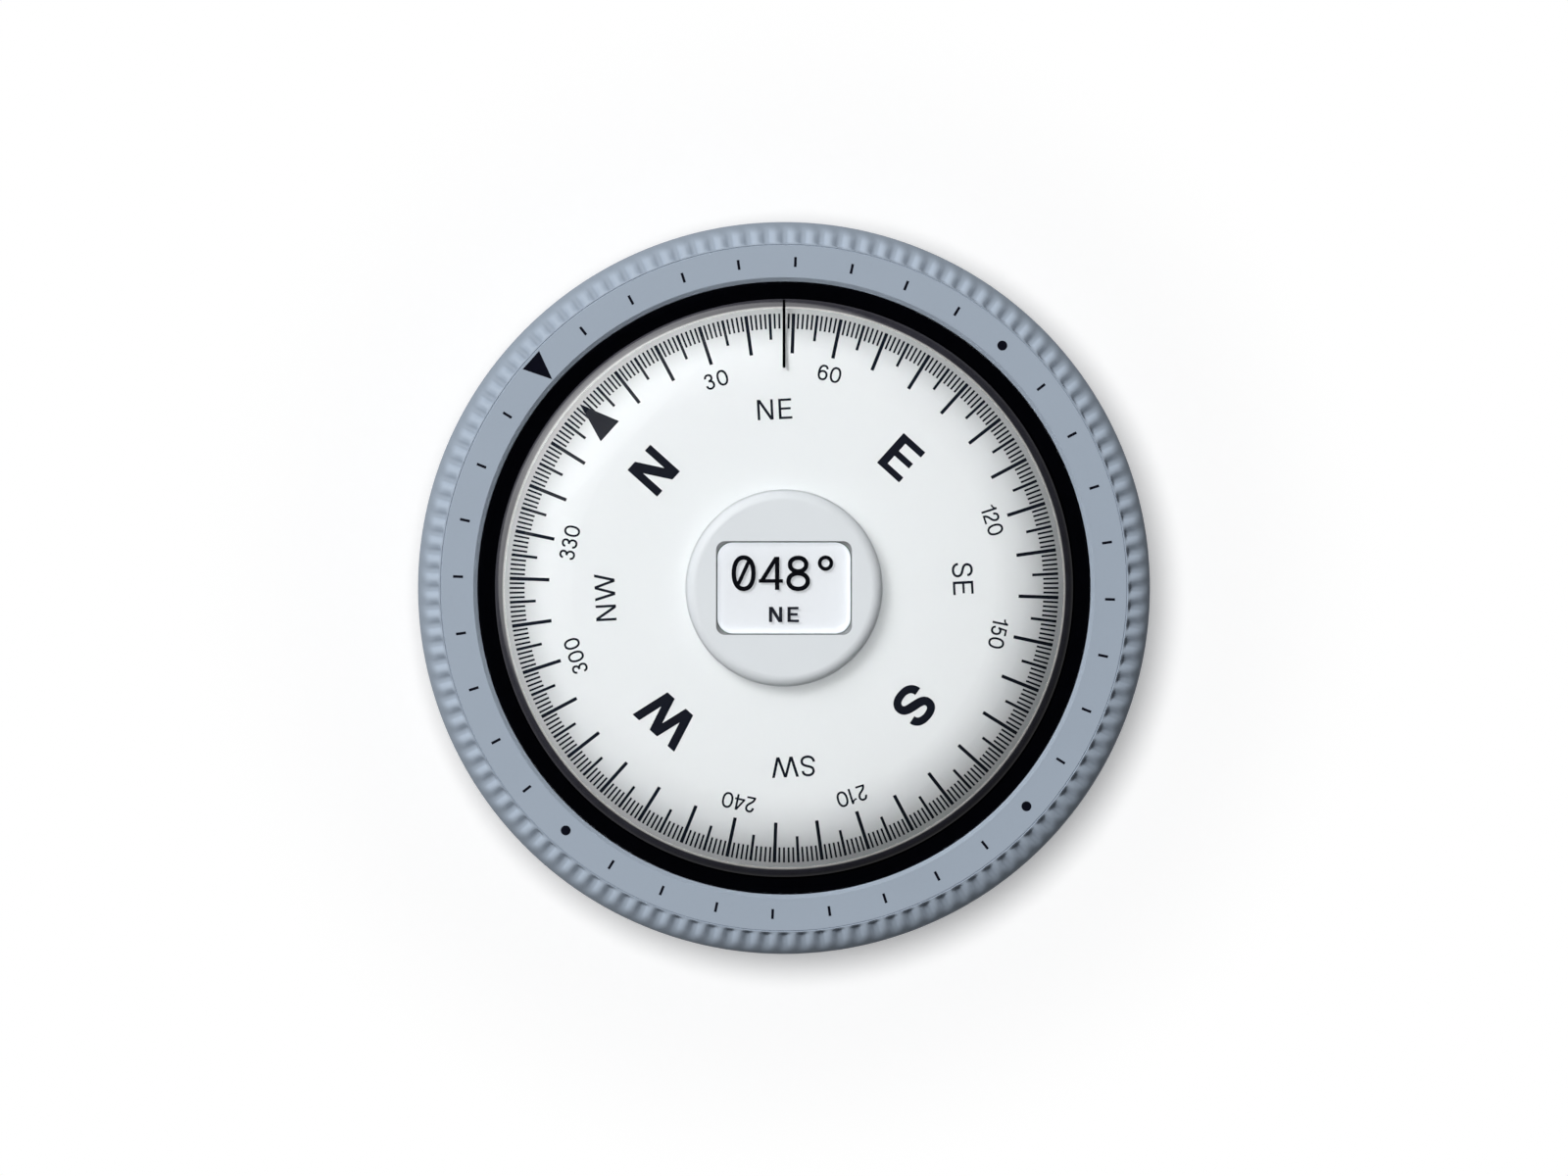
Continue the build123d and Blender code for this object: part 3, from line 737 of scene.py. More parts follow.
def stroke(points: Sequence[Point], halves: Sequence[float]) -> Ribbon:
    """A stroke that follows a line of points.

    Args:
        points: The middle of the stroke.
        halves: Half of its width at even steps along it.

    Returns:
        The stroke, cut square at its ends.
    """
    left, right = [], []
    last = len(points) - 1
    for index, (x, y) in enumerate(points):
        ahead, behind = points[min(index + 1, last)], points[max(index - 1, 0)]
        along = Vector((ahead[0] - behind[0], ahead[1] - behind[1])).normalized()
        spot = index / last * (len(halves) - 1)
        low = min(int(spot), len(halves) - 2)
        half = halves[low] + (halves[low + 1] - halves[low]) * (spot - low)
        left.append((x - along.y * half, y + along.x * half))
        right.append((x + along.y * half, y - along.x * half))
    return Ribbon(tuple(left), tuple(right))


def bend(start: Point, *pulls: Point, steps: int = 10) -> list[Point]:
    """Points along a chain of cubic curves.

    Args:
        start: Where the chain starts.
        pulls: Two pulls and an end for each curve in turn.
        steps: Points for each curve.

    Returns:
        The points, ends included.
    """
    points = [start]
    for first, second, end in zip(pulls[0::3], pulls[1::3], pulls[2::3]):
        begin = points[-1]
        for step in range(1, steps + 1):
            t = step / steps
            weights = ((1 - t) ** 3, 3 * t * (1 - t) ** 2, 3 * t * t * (1 - t), t**3)
            knots = (begin, first, second, end)
            points.append(tuple(sum(w * knot[axis] for w, knot in zip(weights, knots)) for axis in (0, 1)))
    return points


def loop(middle: Point, across: float, up: float, half: float, square: float = 2.0, count: int = 48) -> Ribbon:
    """A closed oval stroke.

    Args:
        middle: The oval's centre.
        across: Half of its width, at the middle of the stroke.
        up: Half of its height, at the middle of the stroke.
        half: Half of the stroke's width.
        square: 2 for an ellipse, more for a squarer oval.
        count: Points round it.

    Returns:
        The stroke.
    """
    edges = []
    for grow in (-half, half):
        edge = []
        for index in range(count):
            angle = math.tau * index / count
            turn = (math.cos(angle), math.sin(angle))
            x = math.copysign(abs(turn[0]) ** (2 / square), turn[0]) * (across + grow)
            y = math.copysign(abs(turn[1]) ** (2 / square), turn[1]) * (up + grow)
            edge.append((middle[0] + x, middle[1] + y))
        edges.append(tuple(edge))
    return Ribbon(edges[0], edges[1], True)


@dataclass(frozen=True)
class Glyph:
    """One letter or figure: its width and its strokes on the lettering grid."""

    width: float
    strokes: tuple[Ribbon, ...]


@dataclass(frozen=True)
class Alphabet:
    """A set of letters of one weight and height."""

    cap: float
    glyphs: dict[str, Glyph]

    def word(self, text: str, gap: float) -> list[Ribbon]:
        """Set a word round its own centre.

        Args:
            text: The letters.
            gap: The space between two letters.

        Returns:
            The strokes of all the letters.
        """
        width = sum(self.glyphs[letter].width for letter in text) + gap * (len(text) - 1)
        pen, strokes = -width / 2, []
        for letter in text:
            glyph = self.glyphs[letter]
            strokes += [part.moved(pen, -self.cap / 2) for part in glyph.strokes]
            pen += glyph.width + gap
        return strokes


def bold_alphabet() -> Alphabet:
    """The four large letters of the card.

    Returns:
        The letters N, E, S and W.
    """
    spine = bend((29.6, 28.4), (29.2, 34.6), (24.0, 37.3), (17.2, 37.3), (10.2, 37.3), (5.2, 34.8), (5.2, 29.6),
                 (5.2, 23.6), (10.5, 22.3), (17.1, 20.6), (24.2, 18.7), (29.7, 17.5), (29.7, 11.6),
                 (29.7, 5.9), (24.0, 3.3), (17.0, 3.3), (9.6, 3.3), (4.7, 6.9), (4.4, 13.6))
    return Alphabet(40.7, {
        "N": Glyph(34.8, (upright(0, 8.2, 0, 40.7), upright(26.6, 34.8, 0, 40.7),
                          slant((23.4, 34.8), 0, (0, 11.4), 40.7))),
        "E": Glyph(30.3, (upright(0, 8.7, 0, 40.7), upright(0, 29.8, 33.7, 40.7),
                          upright(0, 28.3, 17.2, 23.7), upright(0, 30.3, 0, 6.7))),
        "S": Glyph(34.2, (stroke(spine, (4.4, 3.9, 4.3, 4.7, 4.3, 3.9, 4.4)),)),
        "W": Glyph(57.2, (slant((10.5, 19.9), 0, (0, 9.2), 40.7), slant((11.6, 20.8), 0, (23.5, 32.4), 40.7),
                          slant((35.8, 45.0), 0, (24.9, 33.8), 40.7), slant((36.6, 45.8), 0, (48.0, 57.2), 40.7))),
    })


def thin_alphabet() -> Alphabet:
    """The light letters of the quarter points.

    Returns:
        The letters N, E, S and W.
    """
    spine = bend((13.0, 15.2), (12.9, 18.3), (10.6, 19.85), (7.6, 19.85), (4.4, 19.85), (2.0, 18.2),
                 (2.0, 15.4), (2.0, 12.2), (4.6, 11.5), (7.6, 10.6), (10.9, 9.7), (13.6, 8.9), (13.6, 5.5),
                 (13.6, 2.6), (11.0, 0.9), (7.6, 0.9), (3.9, 0.9), (1.4, 2.9), (1.3, 6.4))
    return Alphabet(20.8, {
        "N": Glyph(16.2, (upright(0, 2.6, 0, 20.8), upright(13.6, 16.2, 0, 20.8),
                          slant((13.0, 16.2), 0, (0, 3.2), 20.8))),
        "E": Glyph(13.7, (upright(0, 2.7, 0, 20.8), upright(0, 13.3, 18.4, 20.8),
                          upright(0, 12.4, 9.5, 11.8), upright(0, 13.7, 0, 2.4))),
        "S": Glyph(15.0, (stroke(spine, (1.25, 1.25)),)),
        "W": Glyph(27.5, (slant((5.5, 8.3), 0, (0, 2.9), 20.8), slant((5.8, 8.6), 0, (12.3, 15.0), 20.8),
                          slant((18.9, 21.7), 0, (12.5, 15.2), 20.8), slant((19.2, 22.0), 0, (24.6, 27.5), 20.8))),
    })


def figure_alphabet() -> Alphabet:
    """The small figures of the degree scale.

    Returns:
        The figures that the scale uses.
    """
    half = (1.08, 1.08)
    two = bend((1.15, 11.0), (1.2, 13.7), (2.6, 15.15), (4.7, 15.15), (6.8, 15.15), (8.05, 13.6), (8.05, 11.7),
               (8.05, 9.0), (5.9, 7.6), (4.2, 6.2), (2.6, 4.9), (1.4, 3.6), (1.15, 1.1))
    three = bend((1.25, 11.8), (1.3, 13.9), (2.7, 15.15), (4.65, 15.15), (6.7, 15.15), (7.9, 13.8), (7.9, 12.1),
                 (7.9, 9.9), (6.3, 8.75), (3.9, 8.75))
    three_low = bend((3.9, 8.75), (6.8, 8.75), (8.4, 7.2), (8.4, 4.9), (8.4, 2.5), (6.8, 1.05), (4.6, 1.05),
                     (2.5, 1.05), (1.1, 2.4), (1.05, 4.7))
    five = bend((1.25, 7.4), (2.0, 9.0), (3.1, 9.75), (4.7, 9.75), (6.9, 9.75), (8.15, 8.0), (8.15, 5.5),
                (8.15, 2.8), (6.7, 1.05), (4.5, 1.05), (2.6, 1.05), (1.2, 2.3), (1.05, 4.3))
    six = bend((9.0, 12.1), (8.7, 14.1), (7.4, 15.15), (5.6, 15.15), (2.5, 15.15), (1.1, 12.2), (1.1, 7.8),
               (1.1, 3.4), (2.5, 1.05), (5.2, 1.05), (7.7, 1.05), (9.2, 2.8), (9.2, 5.3),
               (9.2, 7.9), (7.6, 9.5), (5.3, 9.5), (3.0, 9.5), (1.3, 7.9), (1.2, 5.6))
    flag = bend((0.0, 12.0), (2.6, 12.1), (4.2, 13.2), (4.7, 16.2))
    return Alphabet(16.2, {
        "0": Glyph(11.3, (loop((5.65, 8.1), 4.57, 7.1, 1.08, 2.25),)),
        "1": Glyph(6.0, (upright(3.85, 6.0, 0, 16.2), stroke(flag, (0.85, 0.75)))),
        "2": Glyph(9.2, (stroke(two, half), upright(0.05, 9.2, 0, 1.95))),
        "3": Glyph(9.5, (stroke(three, half), stroke(three_low, half))),
        "4": Glyph(10.5, (upright(6.7, 8.8, 0, 16.2), upright(0, 10.5, 3.8, 5.7),
                          slant((0, 2.3), 5.4, (6.5, 8.8), 16.2))),
        "5": Glyph(9.2, (upright(1.75, 8.6, 14.25, 16.2), slant((0.7, 2.6), 7.2, (1.75, 3.6), 15.6),
                         stroke(five, half))),
        "6": Glyph(10.3, (stroke(six, half),)),
    })


class PrintedLayer:
    """A thin closed solid of print, laid stroke by stroke on a surface."""

    STEP = 0.35

    def __init__(self, name: str, lay: Surface, thickness: float) -> None:
        """Start an empty layer.

        Args:
            name: The piece's name.
            lay: Gives the point of the print's face over a point of the drawing, in millimetres.
            thickness: How far the print goes down from its face, in millimetres.
        """
        self.name = name
        self.lay = lay
        self.down = Vector((0.0, 0.0, thickness))
        self.points: list[Vector] = []
        self.faces: list[tuple[int, ...]] = []

    def stations(self, ribbon: Ribbon) -> list[tuple[Point, Point]]:
        """Matching edge points, close enough together for the print to follow its surface.

        Args:
            ribbon: The stroke.

        Returns:
            Its left and right points in turn.
        """
        pairs = list(zip(ribbon.left, ribbon.right))
        if ribbon.closed:
            return pairs
        fine = [pairs[0]]
        for first, second in zip(pairs, pairs[1:]):
            reach = max(math.dist(first[side], second[side]) for side in (0, 1))
            parts = max(1, math.ceil(reach / self.STEP))
            for part in range(1, parts + 1):
                t = part / parts
                ends = zip(first, second)
                fine.append(tuple((a[0] + (b[0] - a[0]) * t, a[1] + (b[1] - a[1]) * t) for a, b in ends))
        return fine

    def add(self, ribbons: Iterable[Ribbon]) -> "PrintedLayer":
        """Lay some strokes, each as a closed solid of its own.

        Args:
            ribbons: The strokes, in millimetres.

        Returns:
            The layer itself.
        """
        for ribbon in ribbons:
            pairs = self.stations(ribbon)
            start, count = len(self.points), len(pairs)
            for pair in pairs:
                for point in pair:
                    face = self.lay(point)
                    self.points += [face, face - self.down]
            for index in range(count if ribbon.closed else count - 1):
                near, far = start + 4 * index, start + 4 * ((index + 1) % count)
                self.faces += [
                    (near, near + 2, far + 2, far),
                    (near + 1, far + 1, far + 3, near + 3),
                    (near, far, far + 1, near + 1),
                    (near + 2, near + 3, far + 3, far + 2),
                ]
            if not ribbon.closed:
                end = start + 4 * (count - 1)
                self.faces += [(start, start + 1, start + 3, start + 2), (end, end + 2, end + 3, end + 1)]
        return self

    def piece(self) -> bpy.types.Object:
        """Make the mesh object, with every face turned outwards.

        Returns:
            The mesh object.
        """
        mesh = bpy.data.meshes.new(self.name)
        mesh.from_pydata([point * MM for point in self.points], [], self.faces)
        shell = bmesh.new()
        shell.from_mesh(mesh)
        bmesh.ops.recalc_face_normals(shell, faces=shell.faces)
        shell.to_mesh(mesh)
        shell.free()
        made = bpy.data.objects.new(self.name, mesh)
        bpy.context.scene.collection.objects.link(made)
        return made


def arc(centre: Point, radius: float, start: float, end: float, steps: int) -> list[Point]:
    """Points along an arc of a section.

    Args:
        centre: Its centre, as radius and height.
        radius: Its own radius.
        start: Where it starts, in degrees from straight up towards the outside.
        end: Where it ends.
        steps: The parts that it is cut into.

    Returns:
        The points, ends included.
    """
    turns = [math.radians(start + (end - start) * step / steps) for step in range(steps + 1)]
    return [(centre[0] + radius * math.sin(turn), centre[1] + radius * math.cos(turn)) for turn in turns]


def spin(name: str, section: Section, count: int, sharp: float) -> bpy.types.Object:
    """Make a smooth closed solid round the upright axis.

    Args:
        name: The piece's name.
        section: The closed outline at a turn in radians, as radii and heights in millimetres.
        count: Places round the axis.
        sharp: The angle between two faces, in degrees, from which their edge stays sharp.

    Returns:
        The mesh object.
    """
    shell = bmesh.new()
    rings = []
    for index in range(count):
        turn = math.tau * index / count
        across, along = math.cos(turn) * MM, math.sin(turn) * MM
        rings.append([shell.verts.new((out * across, out * along, up * MM)) for out, up in section(turn)])
    for near, far in zip(rings, rings[1:] + rings[:1]):
        for index in range(len(near)):
            shell.faces.new((near[index - 1], far[index - 1], far[index], near[index]))
    bmesh.ops.remove_doubles(shell, verts=shell.verts, dist=WELD * MM)
    bmesh.ops.recalc_face_normals(shell, faces=shell.faces)
    mesh = bpy.data.meshes.new(name)
    shell.to_mesh(mesh)
    shell.free()
    mesh.shade_smooth()
    mesh.set_sharp_from_angle(angle=math.radians(sharp))
    made = bpy.data.objects.new(name, mesh)
    bpy.context.scene.collection.objects.link(made)
    return made


@dataclass
class Workshop:
    """The CAD nodes, and the ways that a finish or a new piece is put on them."""

    nodes: dict[str, bpy.types.Object]
    pieces: dict[str, bpy.types.Object] = field(default_factory=dict)

    def dress(self, finish: Finish, *names: str) -> None:
        """Give some CAD nodes a finish of their own.

        Args:
            finish: The finish.
            names: The nodes' names.
        """
        for name in names:
            material = finish.material(name + "_finish")
            for place in self.nodes[name].material_slots:
                place.material = material
            LOG.info("node %s: %s", name, type(finish).__name__)

    def fit(self, piece: bpy.types.Object, finish: Finish, body: Body) -> None:
        """Finish a new piece and set it on a body.

        Args:
            piece: The new piece.
            finish: Its finish.
            body: The body that it rides on.
        """
        piece.data.materials.append(finish.material(piece.name + "_finish"))
        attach(piece, body.value)
        self.pieces[piece.name] = piece
        LOG.info("piece %s: %d faces on %s", piece.name, len(piece.data.polygons), body.value)

    def swap(self, piece: bpy.types.Object, finish: Finish, body: Body, node: str) -> None:
        """Put a finer piece in the place of a CAD node, which gets the same finish.

        Args:
            piece: The new piece.
            finish: Its finish.
            body: The body that it rides on.
            node: The CAD node that it stands for.
        """
        self.dress(finish, node)
        self.fit(piece, finish, body)
        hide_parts(node)


@dataclass
class Case:
    """Flanged case, its foot and the battery cover, with the dots that show the cover's two places."""

    shell: Anodised = Anodised((0.30, 0.345, 0.405), 0.48)
    lid: Anodised = Anodised((0.335, 0.38, 0.44), 0.44, 0.3, 0.3)
    foot: Rubber = Rubber((0.035, 0.036, 0.04))
    seal: Rubber = Rubber((0.022, 0.022, 0.024), 0.02)
    dot: Ink = Ink((0.72, 0.73, 0.74), 0.5, 0.3)
    underside: float = 0.6
    lid_underside: float = 0.8
    turn: float = 40.0
    lid_dot_r: float = 10.2
    case_dot_r: float = 13.4
    dot_r: float = 0.42
    dot_pore: float = 0.002
    dot_places: int = 24
    dot_proud: float = 0.01
    dot_t: float = 0.025

    def marks(self, name: str, radius: float, angles: Sequence[float], height: float) -> PrintedLayer:
        """Small painted dots on the underside.

        Args:
            name: The piece's name.
            radius: Their distance from the axis.
            angles: Their places, in degrees.
            height: The height of the face they are painted on.

        Returns:
            The layer.
        """
        layer = PrintedLayer(name, lambda point: Vector((*point, height + self.dot_proud)), self.dot_t)
        half = self.dot_r / 2
        for angle in angles:
            middle = (radius * math.cos(math.radians(angle)), radius * math.sin(math.radians(angle)))
            layer.add([loop(middle, half, half, half - self.dot_pore, count=self.dot_places)])
        return layer

    def build(self, shop: Workshop) -> None:
        """Dress the case's nodes and paint its dots.

        Args:
            shop: The nodes, and the pieces made so far.
        """
        shop.dress(self.shell, "base_case")
        shop.dress(self.lid, "battery_cover")
        shop.dress(self.foot, "foot_ring")
        shop.dress(self.seal, "battery_cover_oring", "bezel_friction_oring", "crystal_gasket")
        case_dots = self.marks("case_dots", self.case_dot_r, (0.0, -self.turn), self.underside)
        cover_dot = self.marks("cover_dot", self.lid_dot_r, (0.0,), self.lid_underside)
        shop.fit(case_dots.piece(), self.dot, Body.CASE)
        shop.fit(cover_dot.piece(), self.dot, Body.COVER)


@dataclass
class Bezel:
    """Turning bezel with soft flutes, its filled marks and the wire that holds it."""

    bore: float = 31.82
    flat_in: float = 32.25
    flat_out: float = 35.7
    rim: float = 38.0
    low: float = 7.53
    seat: float = 13.1
    top: float = 13.53
    fill_proud: float = 0.008
    groove: float = 0.08
    band: Point = (15.0, 70.0)
    band_steps: int = 22
    edge_round: float = 0.4
    edge_steps: int = 4
    wire_low: float = 8.21
    wire_high: float = 9.05
    wire_out: float = 32.18
    flutes: int = FLUTES
    flute_depth: float = 0.5
    flute_share: float = 0.94
    flute_ends: tuple[float, float, float, float] = (16.0, 21.0, 27.0, 66.0)
    places: int = 1200
    sharp: float = 36.0
    # Its flutes get a painted highlight on the crests and painted shade in the grooves and on the outer rim.
    ring: Anodised = Anodised((0.322, 0.376, 0.447), flutes=FLUTES)
    fill: Ink = Ink((0.003, 0.0035, 0.008), 0.6, 0.02)
    wire: BareMetal = BareMetal((0.55, 0.56, 0.57))

    def fade(self, slope: float) -> float:
        """How deep a flute is at a slope of the band: 0 at its two ends and 1 between.

        Args:
            slope: The slope, in degrees.

        Returns:
            The share of the flute's full depth.
        """
        rise, full, fall, end = self.flute_ends
        share = min((slope - rise) / (full - rise), (end - slope) / (end - fall), 1.0)
        return max(share, 0.0) ** 2 * (3.0 - 2.0 * max(share, 0.0))

    def section(self, turn: float) -> list[Point]:
        """The bezel's outline at one place round it.

        Args:
            turn: The place round the axis, in radians.

        Returns:
            The closed outline.
        """
        apart = abs((turn * self.flutes / math.tau + 0.5) % 1.0 - 0.5)
        cut = math.cos(math.pi * min(apart / self.flute_share, 0.5)) ** 2 * self.flute_depth
        first, last = (math.radians(slope) for slope in self.band)
        top = self.top - self.fill_proud
        swell = (self.rim - self.flat_out) / (math.sin(last) - math.sin(first))
        centre = (self.flat_out - swell * math.sin(first), top - swell * math.cos(first))
        lip = (self.rim - self.edge_round, self.low + self.edge_round)
        outline = [
            (self.bore, self.low),
            (self.bore, self.wire_low),
            (self.wire_out, self.wire_low),
            (self.wire_out, self.wire_high),
            (self.bore, self.wire_high),
            (self.bore, self.seat),
            (self.flat_in, top),
            (self.flat_out - 2 * self.groove, top),
            (self.flat_out - self.groove, top - self.groove),
        ]
        for step in range(self.band_steps + 1):
            slope = self.band[0] + (self.band[1] - self.band[0]) * step / self.band_steps
            outline += arc(centre, swell - cut * self.fade(slope), slope, slope, 1)[:1]
        return outline + arc(lip, self.edge_round, 90.0, 180.0, self.edge_steps)

    def build(self, shop: Workshop) -> None:
        """Turn the ring and dress the bezel's nodes.

        Args:
            shop: The nodes, and the pieces made so far.
        """
        ring = spin("fluted_bezel", self.section, self.places, self.sharp)
        shop.swap(ring, self.ring, Body.BEZEL, "bezel_ring")
        shop.dress(self.fill, "bezel_inlay")
        shop.dress(self.wire, "bezel_retaining_wire")


@dataclass
class Crystal:
    """Box crystal, the black ring that holds it and the lubber pin in its wall."""

    foot: float = 11.7
    flange_r: float = 30.85
    flange_top: float = 12.3
    inner: float = 29.2
    outer: float = 30.13
    under: float = 18.6
    top: float = 19.8
    flat: float = 27.43
    bevel: float = 1.5
    round: float = 1.4
    round_steps: int = 80
    fillet: float = 0.1
    fillet_steps: int = 4
    places: int = 400
    sharp: float = 1.2
    line_in: float = 28.75
    line_out: float = 30.08
    line_half: float = 0.135
    line_steps: int = 12
    proud: float = 0.014
    line_t: float = 0.02
    edge_proud: float = 0.006
    edge_t: float = 0.02
    edge_steps: int = 24
    edge_slopes: Point = (9.0, 58.0)
    wall_slopes: Point = (58.0, 90.0)
    glass: ClearGlass = ClearGlass((0.995, 0.995, 0.995))
    edge: Lacquer = Lacquer((0.003, 0.003, 0.004), (0.06, 0.06, 0.058), 29.02, 29.22)
    ring: Ink = Ink((0.0008, 0.0009, 0.0016), 0.7, 0.0)
    pin: Ink = Ink((0.001, 0.001, 0.0015), 0.9, 0.0)

    def shoulder(self) -> Point:
        """The centre of the rounded shoulder's arc.

        Returns:
            Its radius and height.
        """
        slope = math.radians(self.bevel)
        across = self.outer - self.round
        return (across, self.top - (self.round + (across - self.flat) * math.sin(slope)) / math.cos(slope))

    def section(self, turn: float) -> list[Point]:
        """The crystal's outline, the same at each place round it.

        Args:
            turn: The place round the axis, in radians; not used, as the outline is the same all round.

        Returns:
            The closed outline.
        """
        inside = (self.inner - self.fillet, self.under - self.fillet)
        return [
            (0.0, self.under),
            *arc(inside, self.fillet, 0.0, 90.0, self.fillet_steps),
            (self.inner, self.foot),
            (self.flange_r, self.foot),
            (self.flange_r, self.flange_top),
            (self.outer, self.flange_top),
            *arc(self.shoulder(), self.round, 90.0, self.bevel, self.round_steps),
            (self.flat, self.top),
            (0.0, self.top),
        ]

    def coat(self, slopes: Point) -> list[Point]:
        """A coat on the rounded shoulder between two slopes.

        Args:
            slopes: The slopes at which the coat starts and ends, in degrees.

        Returns:
            The coat's outline.
        """
        start, end = slopes
        face = self.round + self.edge_proud
        outside = arc(self.shoulder(), face, start, end, self.edge_steps)
        return outside + arc(self.shoulder(), face - self.edge_t, end, start, self.edge_steps)

    def edge_section(self, turn: float) -> list[Point]:
        """The lacquer on the rounded shoulder, the same at each place round it."""
        return self.coat(self.edge_slopes)

    def wall_section(self, turn: float) -> list[Point]:
        """The matt coat on the shoulder's steep side, the same at each place round it."""
        return self.coat(self.wall_slopes)

    def lay(self, point: Point) -> Vector:
        """Put a point of the drawing on the rounded shoulder.

        Args:
            point: The point, in millimetres.

        Returns:
            The point of the line's face.
        """
        across, up = self.shoulder()
        drop = math.sqrt(self.round**2 - (math.hypot(*point) - across) ** 2)
        return Vector((point[0], point[1], up + drop + self.proud))

    def build(self, shop: Workshop) -> None:
        """Turn the crystal, lacquer its shoulder, draw the lubber line over it and dress its nodes.

        Args:
            shop: The nodes, and the pieces made so far.
        """
        glass = spin("clear_crystal", self.section, self.places, self.sharp)
        shop.swap(glass, self.glass, Body.CASE, "crystal")
        coats = {"crystal_edge": (self.edge_section, self.edge), "crystal_wall": (self.wall_section, self.ring)}
        for name, (section, finish) in coats.items():
            shop.fit(spin(name, section, self.places, self.sharp), finish, Body.CASE)
        line = PrintedLayer("lubber_line", self.lay, self.line_t)
        step = (self.line_out - self.line_in) / self.line_steps
        rungs = [self.line_in + step * place for place in range(self.line_steps)]
        line.add([upright(-self.line_half, self.line_half, rung, rung + step) for rung in rungs])
        shop.fit(line.piece(), self.pin, Body.CASE)
        shop.dress(self.ring, "crystal_ring")
        shop.dress(self.pin, "lubber_pin")


